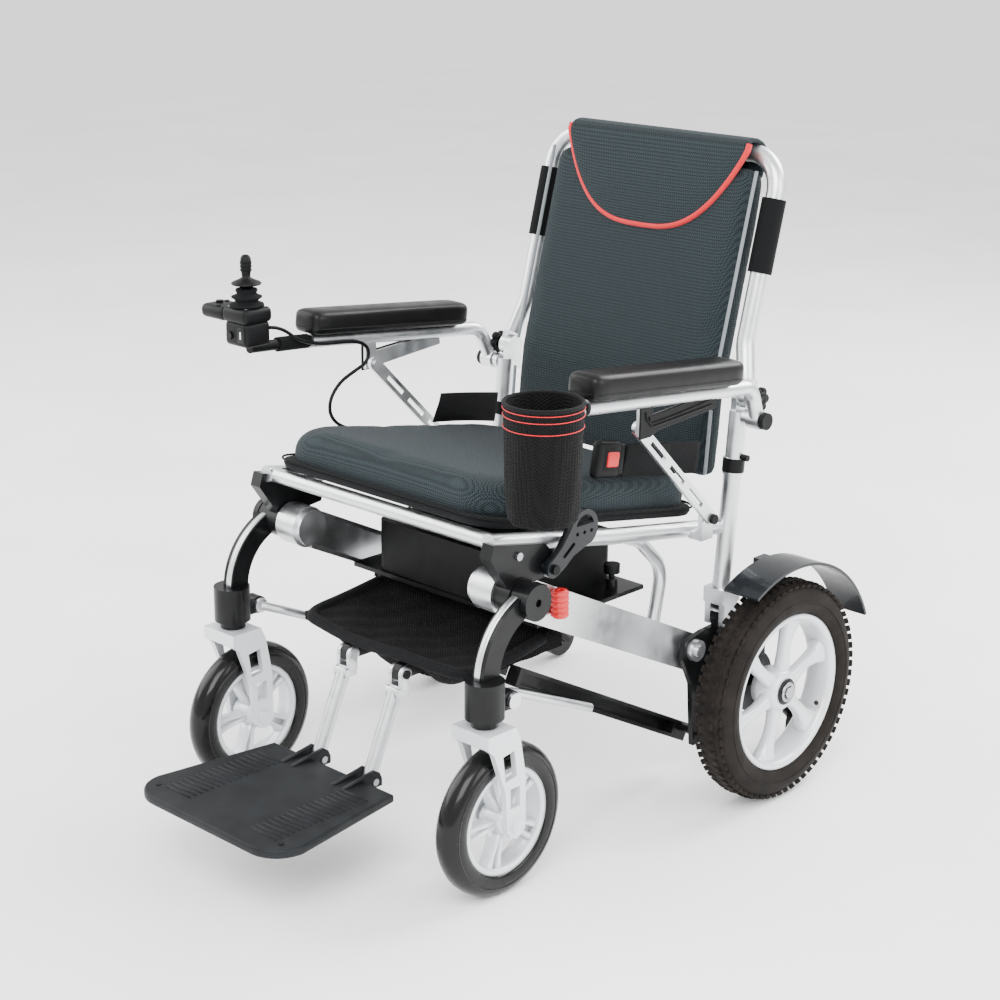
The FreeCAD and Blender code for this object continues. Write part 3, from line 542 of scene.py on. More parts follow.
def place_pair(obj, stem, body, node=None):
    """Name the left piece, mirror it to the right and let both ride and replace."""
    obj.name = stem + "_left"
    other = mirror_copy(obj, stem + "_right")
    for piece, side in ((obj, "left"), (other, "right")):
        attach(piece, body % side if "%" in body else body)
        if node:
            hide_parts(node % side)
    return obj, other


print("mesh tools are ready")

# %% [markdown]
# ## Wheels
# The rear tyre is one turned section plus tread blocks. Geometry Nodes copies a single block round
# the tyre on a circle of points, so the block count and size stay as named inputs. The alloy spokes
# are skinned from sections that start wide at the hub, pinch in and flare out at the rim.

# %% Geometry Nodes: copies on a circle


def circle_of(name, piece, count, radius, spin):
    """A node tree that sets a piece on a circle about X, count times, and realizes the copies."""
    tree = bpy.data.node_groups.new(name, "GeometryNodeTree")
    for label, kind, value in (("Count", "NodeSocketInt", count), ("Radius", "NodeSocketFloat", radius),
                               ("Start", "NodeSocketFloat", spin)):
        socket = tree.interface.new_socket(label, in_out="INPUT", socket_type=kind)
        socket.default_value = value
    tree.interface.new_socket("Geometry", in_out="OUTPUT", socket_type="NodeSocketGeometry")
    inp = tree.nodes.new("NodeGroupInput")
    out = tree.nodes.new("NodeGroupOutput")
    ring = tree.nodes.new("GeometryNodeCurvePrimitiveCircle")
    tree.links.new(inp.outputs["Count"], ring.inputs["Resolution"])
    tree.links.new(inp.outputs["Radius"], ring.inputs["Radius"])
    spots = tree.nodes.new("GeometryNodeCurveToPoints")
    spots.mode = "EVALUATED"
    tree.links.new(ring.outputs["Curve"], spots.inputs["Curve"])
    copies = tree.nodes.new("GeometryNodeInstanceOnPoints")
    tree.links.new(spots.outputs["Points"], copies.inputs["Points"])
    tree.links.new(spots.outputs["Rotation"], copies.inputs["Rotation"])
    info = tree.nodes.new("GeometryNodeObjectInfo")
    info.inputs["Object"].default_value = piece
    tree.links.new(info.outputs["Geometry"], copies.inputs["Instance"])
    tip = tree.nodes.new("GeometryNodeTransform")
    tree.links.new(copies.outputs["Instances"], tip.inputs["Geometry"])
    tip.inputs["Rotation"].default_value = (0, math.pi / 2, 0)
    spin_it = tree.nodes.new("GeometryNodeTransform")
    tree.links.new(tip.outputs["Geometry"], spin_it.inputs["Geometry"])
    angle = tree.nodes.new("ShaderNodeCombineXYZ")
    tree.links.new(inp.outputs["Start"], angle.inputs["X"])
    tree.links.new(angle.outputs["Vector"], spin_it.inputs["Rotation"])
    real = tree.nodes.new("GeometryNodeRealizeInstances")
    tree.links.new(spin_it.outputs["Geometry"], real.inputs["Geometry"])
    paint = tree.nodes.new("GeometryNodeSetMaterial")
    paint.inputs["Material"].default_value = piece.data.materials[0]
    tree.links.new(real.outputs["Geometry"], paint.inputs["Geometry"])
    tree.links.new(paint.outputs["Geometry"], out.inputs["Geometry"])
    return tree


def bake_nodes(name, tree, centre):
    """Run a node tree on an empty mesh and keep the result as a plain mesh at centre."""
    holder = linked(name + "_holder", bpy.data.meshes.new(name + "_empty"))
    mod = holder.modifiers.new("nodes", "NODES")
    mod.node_group = tree
    mesh = plain_mesh(holder)
    bpy.data.objects.remove(holder)
    mesh.transform(Matrix.Translation(centre))
    mesh.name = name
    return linked(name, mesh)


# %% Rear tyre: carcass and four rows of blocks
REAR = (0.310, AXLE_Y, 0.155)
BLOCKS = 66
HALF_STEP = math.pi / BLOCKS


def both_sides(half, middle=()):
    """A symmetric section: (distance, radius) points from the edge inwards, then mirrored."""
    return [(-x, r) for x, r in half] + list(middle) + list(reversed(half))


carcass = lathe("rear_tyre", both_sides(((20, 109), (25, 113), (27.5, 122), (27, 131), (23, 141),
                                         (16, 148.5), (8, 151.5)), [(0, 152.3)]), REAR, TYRE, 120)
rows = []
# the copy's own Z runs along the circle, so each block is turned to lie flat on the tyre
LIE_FLAT = Matrix(((0, 0, 1, 0), (0, 1, 0, 0), (1, 0, 0, 0), (0, 0, 0, 1)))
for row, (x, r, lean, wide) in enumerate(((-19, 146.6, -0.75, 9), (-7, 151.6, -0.12, 10),
                                          (7, 151.6, 0.12, 10), (19, 146.6, 0.75, 9))):
    block = rounded_block("tread_block", (-0.0048, -wide / 2000, -0.0016),
                          (0.0048, wide / 2000, 0.0012), 0.0008, TYRE, segments=1)
    block.data.transform(Matrix.Rotation(lean, 4, "Z") @ LIE_FLAT)
    tree = circle_of("tread_row_%d" % row, block, BLOCKS, r / 1000, HALF_STEP * (row % 2))
    rows.append(bake_nodes("tread_%d" % row, tree, (REAR[0] + x / 1000, REAR[1], REAR[2])))
    bpy.data.objects.remove(block)
for x in (-27.2, 27.2):
    rows.append(lathe("sidewall_line", [(x - 0.8, 126), (x + 0.8, 126), (x + 0.8, 128), (x - 0.8, 128)],
                      REAR, TYRE, 96))
tyre = join("rear_tyre_left", [carcass] + rows)
place_pair(tyre, "rear_tyre_detailed", "rear_wheel_%s", "rear_tyre_%s")
print("rear tyre", len(tyre.data.polygons), "faces")

# %% [markdown]
# ## Rims
# A cast rim is a turned barrel and hub with spokes between them. Each spoke is a row of soft ovals,
# wide at the hub, pinched half way and flared where it meets the barrel. Skinning a row of sections
# gives that flow at once, where a bevelled box would need sculpting.

# %% Spoke


def soft_corner(value, power):
    """Push a sine or cosine towards +-1, so that a round section turns into a rounded square."""
    return math.copysign(abs(value) ** power, value)


def spoke(name, centre, angle, sections, look):
    """A spoke skinned along its radius from (radius, half width, front, back, curve) sections in mm."""
    rings = []
    for r, half, front, back_x, bend in sections:
        ring = []
        for k in range(12):
            a = 2 * math.pi * k / 12
            across = half * soft_corner(math.cos(a), 0.6) + bend
            along = (front + back_x) / 2 + (front - back_x) / 2 * soft_corner(math.sin(a), 0.6)
            y = r * math.cos(angle) - across * math.sin(angle)
            z = r * math.sin(angle) + across * math.cos(angle)
            ring.append(Vector(centre) + Vector((along, y, z)) / 1000)
        rings.append(ring)
    return skin(name, rings, look)


# %% Rear rim: barrel, hub, six spokes, seal, ring, nut and valve
parts = [lathe("rim_barrel", [(-22, 104), (-22, 109), (-18, 109.4), (18, 109.4), (22, 109), (23, 106),
                              (20, 101), (14, 99), (-14, 99), (-18, 100)], REAR, CAST, 120),
         lathe("rim_hub", [(-22, 9), (-22, 26), (-8, 31), (6, 31), (14, 27), (17, 24), (17, 9)], REAR,
               CAST, 64)]
for i in range(6):
    turn_by = math.radians(60 * i + 18)
    parts.append(spoke("rim_spoke", REAR, turn_by, [
        (24, 13, 13, -6, 0), (34, 10, 13, -5, 0.5), (50, 8, 11, -5, 1.5), (68, 8.5, 10, -6, 1),
        (84, 11.5, 11, -8, -1), (94, 16, 13, -11, -2), (101, 24, 15, -13, -2)], CAST))
parts.append(lathe("rim_seal", [(17, 9), (17, 17), (18.5, 18.5), (20, 17), (20, 9)], REAR, BLACK_PAINT,
                   48))
parts.append(lathe("rim_ring", [(19.9, 9), (19.9, 13.5), (21.5, 14), (22.5, 12.5), (22.5, 9)], REAR,
                   STEEL, 48))
nut = lathe("rim_nut", [(22.3, 0.1), (22.3, 8.6), (24, 8.6), (24, 0.1)], REAR, STEEL, 6)
for p in nut.data.polygons:
    p.use_smooth = False
parts.append(nut)
stem_dir = math.radians(-28)
stem_at = Vector(REAR) + Vector((0.012, 0.094 * math.cos(stem_dir), 0.094 * math.sin(stem_dir)))
stem_end = stem_at + Vector((0.010, -0.018 * math.cos(stem_dir), -0.018 * math.sin(stem_dir)))
parts.append(cord_curve("valve", [stem_at, (stem_at + stem_end) / 2, stem_end], 0.0026, YELLOW))
parts.append(cord_curve("valve_cap", [stem_end, stem_end * 0.7 + (stem_end * 2 - stem_at) * 0.3,
                                      stem_end + (stem_end - stem_at) * 0.5], 0.0033, BLACK_PAINT))
rim = join("rear_rim", parts)
place_pair(rim, "rear_rim_detailed", "rear_wheel_%s", "rear_rim_%s")
print("rear rim", len(rim.data.polygons), "faces")

# %% [markdown]
# ## Caster wheels
# The front wheels have a solid glossy tyre, which is a single turned section. The rim has five pairs
# of ribs with a thin web between each pair.

# %% Caster wheels: glossy tyre and deep five-spoke rim
CASTER = (0.2376, AXLE_Y - 0.4677, 0.100)
caster_tyre = lathe("caster_tyre", both_sides(((15, 70), (17.4, 74), (17.8, 82), (17, 90), (13, 96),
                                               (7, 99.2)), [(0, 100)]), CASTER, PU_BLACK, 120)
line = lathe("caster_line", [(-17.9, 86), (-17.9, 87.5), (17.9, 87.5), (17.9, 86)], CASTER, PU_BLACK, 96)
place_pair(join("caster_tyre", [caster_tyre, line]), "caster_tyre_detailed", "caster_wheel_%s",
           "caster_tyre_%s")
parts = [lathe("caster_barrel", [(-15, 64), (-15, 70), (15, 70), (15, 64), (11, 62), (4, 65), (-4, 65),
                                 (-11, 62)], CASTER, CAST, 96),
         lathe("caster_hub", [(-20, 7), (-20, 14), (-15, 17), (15, 17), (20, 14), (20, 7)], CASTER, CAST, 48)]
for i in range(5):
    middle = math.radians(72 * i + 40)
    for shift in (-0.13, 0.13):
        parts.append(spoke("caster_spoke", CASTER, middle + shift, [
            (13, 4.5, 13, -13, 0), (30, 3.2, 10, -10, 0), (48, 3.0, 9, -9, 0), (60, 4.2, 10, -10, 0),
            (66, 6.5, 12, -12, 0)], CAST))
    parts.append(spoke("caster_web", CASTER, middle, [
        (14, 4, 2.5, -2.5, 0), (40, 6.5, 2.5, -2.5, 0), (64, 9, 2.5, -2.5, 0)], CAST))
place_pair(join("caster_rim", parts), "caster_rim_detailed", "caster_wheel_%s", "caster_rim_%s")
print("casters done")

# %% [markdown]
# ## Cushions by cloth simulation
# A cushion is drawn a little small, remeshed to an even grid and blown up for twenty frames with
# Blender's Cloth pressure. The move of each point is capped, so the pad swells but keeps its size.

# %% Swelling a pad
AIR_FRAMES = 20


def puff(obj, cap, voxel=0.006, pressure=4.0):
    """Voxel remesh, inflate with cloth, cap the movement, and keep the result as a plain mesh."""
    look = obj.data.materials[0]
    name = obj.name
    mod = obj.modifiers.new("even", "REMESH")
    mod.mode = "VOXEL"
    mod.voxel_size = voxel
    mesh = plain_mesh(obj)
    obj.modifiers.clear()
    obj.data = mesh
    start = [v.co.copy() for v in mesh.vertices]
    cloth = obj.modifiers.new("air", "CLOTH")
    cloth.settings.use_pressure = True
    cloth.settings.uniform_pressure_force = pressure
    cloth.settings.quality = 4
    cloth.settings.mass = 0.3
    cloth.settings.tension_stiffness = 12
    cloth.settings.compression_stiffness = 12
    cloth.settings.bending_stiffness = 1.5
    cloth.settings.effector_weights.gravity = 0
    scene = bpy.context.scene
    for f in range(1, AIR_FRAMES + 1):
        scene.frame_set(f)
    swollen = obj.evaluated_get(bpy.context.evaluated_depsgraph_get()).to_mesh()
    moved = [v.co.copy() for v in swollen.vertices]
    obj.modifiers.clear()
    scene.frame_set(1)
    far = 0
    for v, a, b in zip(mesh.vertices, start, moved):
        step = b - a
        if step.length > cap:
            step = step.normalized() * cap
        v.co = a + step
        far = max(far, step.length)
    print(name, "swelled by up to %.1f mm" % (far * 1000))
    relax = obj.modifiers.new("relax", "SMOOTH")
    relax.iterations = 4
    relax.factor = 0.5
    mesh = plain_mesh(obj)
    obj.modifiers.clear()
    obj.data = mesh
    mesh.name = name
    mesh.materials.clear()
    mesh.materials.append(look)
    for p in mesh.polygons:
        p.use_smooth = True
    return obj


def rounded_outline(half_x, low_y, high_y, corner, steps=8):
    """Corners of a rectangle with round corners, in mm, going round once."""
    out = []
    for cx, cy, a0 in ((half_x - corner, high_y - corner, 0), (-half_x + corner, high_y - corner, 90),
                       (-half_x + corner, low_y + corner, 180), (half_x - corner, low_y + corner, 270)):
        for i in range(steps + 1):
            a = math.radians(a0 + 90 * i / steps)
            out.append((cx + corner * math.cos(a), cy + corner * math.sin(a)))
    return out


# %% [markdown]
# ## Seat cushion
# The cushion lies on rails that tilt back. It is drawn as if the seat were level, row by row from
# its underside to its top, and each point is then carried to the tilted seat by one matrix. A black
# strip under it stands for its base, and a thin seam runs round the edge.

# %% Seat frame of reference
SEAT = Vector((0, AXLE_Y - 0.455, 0.459))
SEAT_TILT = Matrix.Rotation(math.radians(-10.2), 4, "X")
SEAT_TURN = Matrix.Translation(SEAT) @ SEAT_TILT @ Matrix.Translation(-SEAT)
SEAT_HALF = 204
SEAT_FRONT = -454
SEAT_REAR = -26


def on_seat(x, y, z):
    """A point drawn in mm on a level seat, carried to the tilted one."""
    return SEAT_TURN @ Vector((x / 1000, AXLE_Y + y / 1000, z / 1000))


def seat_rows(levels, corner):
    """Rows of points round the seat for each (height, inset) level."""
    return [[on_seat(x, y, z) for x, y in rounded_outline(SEAT_HALF - inset, SEAT_FRONT + inset,
                                                          SEAT_REAR - inset, corner)]
            for z, inset in levels]


print("seat", 2 * SEAT_HALF, "mm wide and", SEAT_REAR - SEAT_FRONT, "mm deep")

# %% Seat cushion, its black base and its seam
seat = skin("seat_cushion_soft", seat_rows(((467, 9), (470, 5), (480, 3), (492, 4), (501, 7), (508, 14),
                                            (511, 26)), 58), MESH_CLOTH)
puff(seat, 0.006)
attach(seat, "chair")
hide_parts("seat_cushion")
base = skin("seat_base_strip", seat_rows(((459.5, 7), (461, 4), (466, 2), (471, 3), (472.5, 7)), 46),
            WEBBING)
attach(base, "chair")
edge = [on_seat(x, y, 472)
        for x, y in rounded_outline(SEAT_HALF - 0.5, SEAT_FRONT + 0.5, SEAT_REAR - 1, 46)]
seam = cord_curve("seat_seam", edge, 0.0016, DARK_MESH, cyclic=True, body="chair")
print("seat cushion", len(seat.data.polygons), "faces")

# %% [markdown]
# ## Back cushion
# One long pad runs from the seat to the top of the back tube and bends where the frame does. It is drawn by
# its height above the hinge and its lean.

# %% Back cushion
HINGE = Vector((0, AXLE_Y + 0.028, 0.541))
LEAN_LOW = 5
LEAN_HIGH = 15
BEND_FROM = -30
BEND_TO = 20


def on_back(x, p, s):
    """x across, p in front (-) or behind (+) the back tube, s up the lean from the hinge, in mm."""
    share = min(1, max(0, (s - BEND_FROM) / (BEND_TO - BEND_FROM)))
    a = math.radians(LEAN_HIGH if s > 0 else LEAN_LOW)
    b = math.radians(LEAN_LOW + (LEAN_HIGH - LEAN_LOW) * share)
    run_y = s * math.sin(a) + p * math.cos(b)
    run_z = s * math.cos(a) - p * math.sin(b)
    return Vector((x / 1000, HINGE.y + run_y / 1000, HINGE.z + run_z / 1000))


rings = []
heights = ((-122, 14), (-120, 6), (-112, 2), (-60, 1), (-22, 1), (0, 1), (30, 0), (90, 0), (160, 0), (230, 0),
           (280, 1), (294, 4), (300, 10), (303, 20))
for s, inset in heights:
    half = 184 - inset - 0.01 * max(0, s)
    depth = min(1.0, 1 - inset / 30)
    outline = rounded_outline(half, -24 * depth, 12 * depth, 12 * depth + 2, 4)
    rings.append([on_back(x, p, s) for x, p in outline])
pad = skin("back_cushion_soft", rings, MESH_CLOTH)
puff(pad, 0.005)
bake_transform(pad)
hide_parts("back_cushion_lower", "back_cushion_upper")
for side, sx in (("left", 1), ("right", -1)):
    line = [on_back(sx * 181, -25, s) for s in (14, 60, 120, 180, 240, 285, 296)]
    piping = cord_curve("back_piping_" + side, line, 0.0024, GREY_PIPING, body="backrest")
    line = [on_back(sx * 181, -25, s) for s in (-112, -80, -50, -24)]
    piping = cord_curve("back_piping_low_" + side, line, 0.0024, GREY_PIPING, body="chair")
print("back cushion", len(pad.data.polygons), "faces")

# %% [markdown]
# ## Headrest flap
# A padded flap hangs over the top tube, with a red cord round its U-shaped front edge. Each column of
# its grid follows one path: up the front, half round the tube, then a short way down behind. The
# grid is a plain sheet that Solidify thickens and Subdivision Surface smooths, so its cord can run
# along a row of the same points.

# %% Headrest flap
FLAP_HALF = 158
FLAP_SHIFT = 5
FLAP_TOP = 326
COLUMNS = 41
ROWS = 30
FRONT_SHARE = 0.6
TUBE_SHARE = 0.22
grid = []
for i in range(COLUMNS):
    x = -FLAP_HALF + 2 * FLAP_HALF * i / (COLUMNS - 1)
    t = abs(x) / FLAP_HALF
    x += FLAP_SHIFT
    bottom = 203 + 118 * t ** 3
    column = []
    for j in range(ROWS):
        v = j / (ROWS - 1)
        if v < FRONT_SHARE:
            k = v / FRONT_SHARE
            s = bottom + (FLAP_TOP - bottom) * k
            p = -29 - 5 * math.sin(math.pi * min(1, k * 0.9 + 0.05)) * (1 - t ** 4)
        elif v < FRONT_SHARE + TUBE_SHARE:
            k = (v - FRONT_SHARE) / TUBE_SHARE
            a = math.pi * k
            p = -7 - 22 * math.cos(a)
            s = FLAP_TOP + 13 * math.sin(a) - 2 * k
        else:
            k = (v - FRONT_SHARE - TUBE_SHARE) / (1 - FRONT_SHARE - TUBE_SHARE)
            p = 15
            s = FLAP_TOP - 2 - 34 * k
        column.append(on_back(x, p, s))
    grid.append(column)
bm = bmesh.new()
verts = [[bm.verts.new(c) for c in column] for column in grid]
for i in range(COLUMNS - 1):
    for j in range(ROWS - 1):
        bm.faces.new((verts[i][j], verts[i + 1][j], verts[i + 1][j + 1], verts[i][j + 1]))
flap = finish_mesh("headrest_flap_soft", bm, MESH_CLOTH)
thick = flap.modifiers.new("thick", "SOLIDIFY")
thick.thickness = 0.007
thick.offset = 0
soft = flap.modifiers.new("soft", "SUBSURF")
soft.levels = 1
mesh = plain_mesh(flap)
flap.modifiers.clear()
flap.data = mesh
for p in mesh.polygons:
    p.use_smooth = True
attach(flap, "backrest")
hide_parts("headrest_flap")
line = [grid[0][j] for j in (18, 10, 4)] + [column[0] for column in grid]
line += [grid[-1][j] for j in (4, 10, 18)]
piping = cord_curve("headrest_red_piping", line, 0.0042, RED_CLOTH, body="backrest")

# %% [markdown]
# ## Foam sleeves and star knobs
# Foam sleeves slide over the back posts, and a star knob locks each hinge. A sleeve is a thick cord.
# A knob is a turned core with six small turned lobes round it.

# %% Foam sleeves and star knobs
CORE = ((-5, 0.1), (-5, 11), (5, 11), (7, 9), (7, 0.1))
LOBE = [(-5, 0.1), (-5, 5), (-3, 6.5), (3, 6.5), (5, 5), (5, 0.1)]
for side, sx in (("left", 1), ("right", -1)):
    line = [on_back(sx * 200, 0, s) for s in (165, 190, 240, 265)]
    foam = cord_curve("back_foam_sleeve_" + side, line, 0.0165, FOAM, body="backrest")
    centre = Vector((sx * 0.240, HINGE.y, HINGE.z))
    lobes = [lathe("knob_core", [(sx * x, r) for x, r in CORE], centre, PLASTIC, 32)]
    for i in range(6):
        a = math.radians(60 * i)
        spot = centre + Vector((0, 0.011 * math.cos(a), 0.011 * math.sin(a)))
        lobes.append(lathe("knob_lobe", LOBE, spot, PLASTIC, 16))
    knob = join("back_star_knob_" + side, lobes)
    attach(knob, "chair")
print("sleeves and knobs done")

# %% [markdown]
# ## Armrest pads
# Each pad is moulded foam with a tight skin, so it is drawn in its final shape and not blown up. Its
# section is a rounded box that shrinks at both ends, with a slight crown on top and a parting seam.

# %% Armrest pads
ARM_TILT = Matrix.Rotation(math.radians(-6), 4, "X")
ARM_AT = Vector((0, AXLE_Y - 0.345, 0.611))


def on_arm(x, y, z):
    """mm: x across, y back from the pad's front, z up from its underside."""
    return ARM_AT + ARM_TILT @ Vector((x / 1000, y / 1000, z / 1000))


rings = []
for y, grow in ((0, 0.55), (1.5, 0.75), (5, 0.9), (12, 0.985), (25, 1), (150, 1), (272, 1), (285, 0.985),
                (292, 0.9), (296, 0.75), (298, 0.5)):
    ring = []
    for k in range(32):
        a = 2 * math.pi * k / 32
        c, d = math.cos(a), math.sin(a)
        wx = 26 * grow * soft_corner(c, 0.45)
        crown = 1.2 * (1 - (wx / 26) ** 2) if d > 0 else 0
        wz = 16 + 16.5 * grow * soft_corner(d, 0.5) + crown
        ring.append(on_arm(250 + wx, y, max(wz, 0.3)))
    rings.append(ring)
arm_pad = skin("arm_pad", rings, PAD_SKIN)
seam_line = [on_arm(250 + x, y, 9) for x, y in rounded_outline(26.2, -0.2, 298.0, 16, 5)]
pad_seam = cord_curve("arm_pad_seam", seam_line, 0.0009, PLASTIC, cyclic=True)
pads = place_pair(join("armrest_pad", [arm_pad, pad_seam]), "armrest_pad_soft", "armrest_%.1s",
                  "armrest_pad_%s")
print("armrest pads done")

# %% [markdown]
# ## Cup holder
# A mesh sleeve hangs from the left armrest: a rolled rim, three rows of red stitching and soft
# creases down its wall. The creases are a small change of radius with the angle.

# %% Cup holder


def at(x, y, z):
    """A point in mm with y counted from the rear axle, as the frame's own sizes are."""
    return Vector((x / 1000, AXLE_Y + y / 1000, z / 1000))


def pin(name, x0, x1, y, z, radius, look):
    """A short round bar across the chair from x0 to x1, in mm, with its radius in metres."""
    return cord_curve(name, [at(x, y, z) for x in (x0, (x0 + x1) / 2, x1)], radius, look)


CUP = at(257, -416, 0)


def hoop(r, z):
    """48 points round the cup at radius r and height z, in mm."""
    return [CUP + Vector((r * math.cos(a), r * math.sin(a), z)) / 1000
            for a in [2 * math.pi * k / 48 for k in range(48)]]


wall = [(475, 0.1), (475, 34), (477, 39), (482, 42.5), (500, 44.6), (540, 46.2), (580, 47.4), (596, 48),
        (610, 48.2), (617, 48.6), (622, 49.4), (625, 48.4), (625, 46.6), (621, 45.6), (600, 45),
        (540, 43.4), (500, 41.8), (480, 36), (479, 0.1)]
sleeve = lathe("cup_sleeve", wall, CUP, BAG_MESH, 96, axis="Z")
for v in sleeve.data.vertices:
    out = Vector((v.co.x - CUP.x, v.co.y - CUP.y, 0))
    if out.length < 0.02:
        continue
    angle = math.atan2(out.y, out.x)
    low = min(1, max(0, (0.600 - v.co.z) / 0.06))
    crease = 0.0007 * math.sin(5 * angle + 22 * v.co.z) + 0.0005 * math.sin(11 * angle - 35 * v.co.z)
    v.co += out.normalized() * (crease * low - 0.0004)
rows = [sleeve]
for z, r, thick in ((617.5, 48.9, 0.0006), (609, 48.5, 0.0006), (595, 48.2, 0.0006), (622.5, 47.2, 0.0011)):
    rows.append(cord_curve("cup_stitch", hoop(r, z), thick, RED_CLOTH, cyclic=True))
rows.append(cord_curve("cup_rim", hoop(47.6, 622.6), 0.0026, WEBBING, cyclic=True))
rows.append(rounded_block("cup_strap", at(244, -372, 590), at(256, -336, 607), 0.002, PLASTIC))
rows.append(pin("cup_bolt", 256, 263, -352, 599, 0.0045, STEEL))
cup = join("cup_holder_sleeve", rows)
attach(cup, "armrest_l")
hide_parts("cup_holder")
print("cup holder", len(cup.data.polygons), "faces")

# %% [markdown]
# ## Bag under the seat
# The netting hangs between the footrest brackets, so its underside is three soft lobes. A padded
# hem runs round its front edge. Both its floor and its front edge are short formulas, so the
# hem can follow the same line as the netting.

# %% Bag under the seat


def bag_floor(x, y):
    """How low the netting hangs at x and y, in mm."""
    along = max(0.0, 1 - ((y + 358) / 82) ** 4)
    ax = abs(x)
    middle = 41 * math.sqrt(max(0, 1 - (ax / 36) ** 2))
    outer = 38 * math.sqrt(max(0, 1 - ((ax - 82.5) / 20.5) ** 2))
    ripple = 1.2 * math.sin(y / 9 + x / 13) + 0.8 * math.sin(x / 6)
    lobes = max(middle, outer) + ripple * (ax > 62 or ax < 34)
    return 248 + along * (ripple * 0.4 - lobes)


def bag_front(x):
    """Where the netting's front edge runs at x, in mm."""
    return -450 + 16 * (x / 158) ** 2


rings = []
for j in range(31):
    v = j / 30
    ring = []
    for i in range(61):
        x = -156 + 312 * i / 60
        y = bag_front(x) + (-264 - bag_front(x)) * v
        rise = 29 * max(0, (y + 345) / 83) ** 1.4
        dip = 7 * (1 - (x / 156) ** 2) * math.sin(math.pi * v)
        wave = 1.3 * math.sin(x / 17 + y / 23) + 0.9 * math.sin(x / 8 - y / 11)
        ring.append(at(x, y, 259 + rise - dip + wave))
    for i in range(121):
        x = 156 - 312 * i / 120
        y = bag_front(x) + (-264 - bag_front(x)) * v
        ring.append(at(x, y, bag_floor(x, y)))
    rings.append(ring)
bag = skin("underseat_net", rings, BAG_MESH)
hem = [at(x, bag_front(x) - 1, 255 + 1.5 * math.sin(x / 30)) for x in range(-140, 141, 20)]
hem = [at(-155, -300, 268), at(-157, -360, 259), at(-156, -415, 256)] + hem
hem = hem + [at(156, -415, 256), at(157, -360, 259), at(155, -300, 268)]
hem_roll = cord_curve("bag_hem", hem, 0.0075, WEBBING)
bag = join("underseat_bag_soft", [bag, hem_roll])
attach(bag, "chair")
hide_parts("underseat_bag")
print("bag", len(bag.data.polygons), "faces")

# %% [markdown]
# ## Lap belt
# Two webbing straps lie along the sides of the seat. The left one ends in a buckle with a red
# button. Webbing stands on edge, so a strap is skinned from upright six-point sections.

# %% Lap belt


def strap(name, x, width, run, look):
    """Webbing standing on edge along (y, height, lean) points on the seat, in mm."""
    rings = []
    for y, z, lean in run:
        low = on_seat(x, y, z)
        high = on_seat(x + lean, y, z + width)
        middle = (low + high) / 2
        edge, belly = Vector((0.0009, 0, 0)), Vector((0.0013, 0, 0))
        rings.append([low - edge, low + edge, middle + belly, high + edge, high - edge, middle - belly])
    return skin(name, rings, look)


def belt_run(low_y, high_y, lean):
    """A strap that leans over at its free end and stands up at the frame."""
    out = []
    for i in range(25):
        t = i / 24
        wave = math.sin(math.pi * t)
        out.append((low_y + (high_y - low_y) * t, 515.8 + 1.5 * wave, lean * (1 - t) + 3 * wave))
    return out


# %% Straps, buckle and button
right_strap = join("belt_right_webbing", [strap("belt_over", -187, 43, belt_run(-168, -40, 12), WEBBING),
                                          strap("belt_under", -190, 42, belt_run(-160, -42, 5), WEBBING)])
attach(right_strap, "chair")
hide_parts("belt_right")
parts = [strap("belt_over", 188, 43, belt_run(-210, -40, 2), WEBBING),
         strap("belt_tail", 192, 42, belt_run(-203, -110, 4), WEBBING),
         rounded_block("buckle_case", at(181, -257, 515.8), at(196.4, -212, 564.5), 0.006, PLASTIC,
                       SEAT_TURN),
         rounded_block("buckle_frame", at(183, -216, 518), at(195, -202, 561), 0.0045, PLASTIC, SEAT_TURN),
         rounded_block("buckle_ring", at(194, -245, 527), at(197.3, -215, 555), 0.0015, PLASTIC, SEAT_TURN)]
left_strap = join("belt_left_webbing", parts)
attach(left_strap, "chair")
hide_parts("belt_left")
button = rounded_block("belt_release_button", at(193.5, -241, 531), at(200, -219, 551), 0.003,
                       RED_PLASTIC, SEAT_TURN)
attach(button, "belt_release")
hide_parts("belt_button")
print("belt done")

# %% [markdown]
# ## Joystick
# A small two-part case with a side pod carries ribbed bellows and the stick. The bellows stay with
# the case, and the skirt and knob tilt with the stick.

# %% Joystick case
JOY = at(-257, -436, 0)
parts = [rounded_block("case_low", at(-280, -457, 610), at(-234, -415, 643), 0.006, PLASTIC),
         rounded_block("case_high", at(-282, -460, 641), at(-232, -412, 662), 0.007, PLASTIC),
         rounded_block("case_window", at(-252, -458.2, 617), at(-238, -456, 637), 0.0009, BLACK_PAINT),
         rounded_block("case_light", at(-246.5, -459, 622), at(-244, -457, 632), 0.0004, CAST),
         rounded_block("case_pod", at(-330, -458, 640), at(-279, -414, 658.5), 0.0075, PLASTIC),
         cord_curve("case_rod", [at(-250, y, z) for y, z in ((-440, 607), (-390, 604), (-335, 600.2))],
                    0.0075, PLASTIC),
         cord_curve("case_sleeve", [at(-250, y, z) for y, z in ((-392, 604), (-370, 602.6), (-340, 600.5))],
                    0.0102, FOAM),
         cord_curve("socket_rim", [at(-268, y, 624) for y in (-459.4, -457.5, -455)], 0.0055, BLACK_PAINT)]
KEY = [(658, 0.1), (658, 3.6), (659.6, 3.4), (660.2, 2.4), (660.2, 0.1)]
for x, y in ((-291, -424), (-299, -450), (-313, -424)):
    parts.append(lathe("pod_key", KEY, at(x, y, 0), FOOT, 24, "Z"))
SCREW = [(661.2, 0.1), (661.2, 1.8), (662.2, 1.6), (662.2, 0.1)]
for x in (-274, -240):
    for y in (-452, -420):
        parts.append(lathe("case_screw", SCREW, at(x, y, 0), STEEL, 16, "Z"))
case = join("joystick_case", parts)
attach(case, "armrest_r")
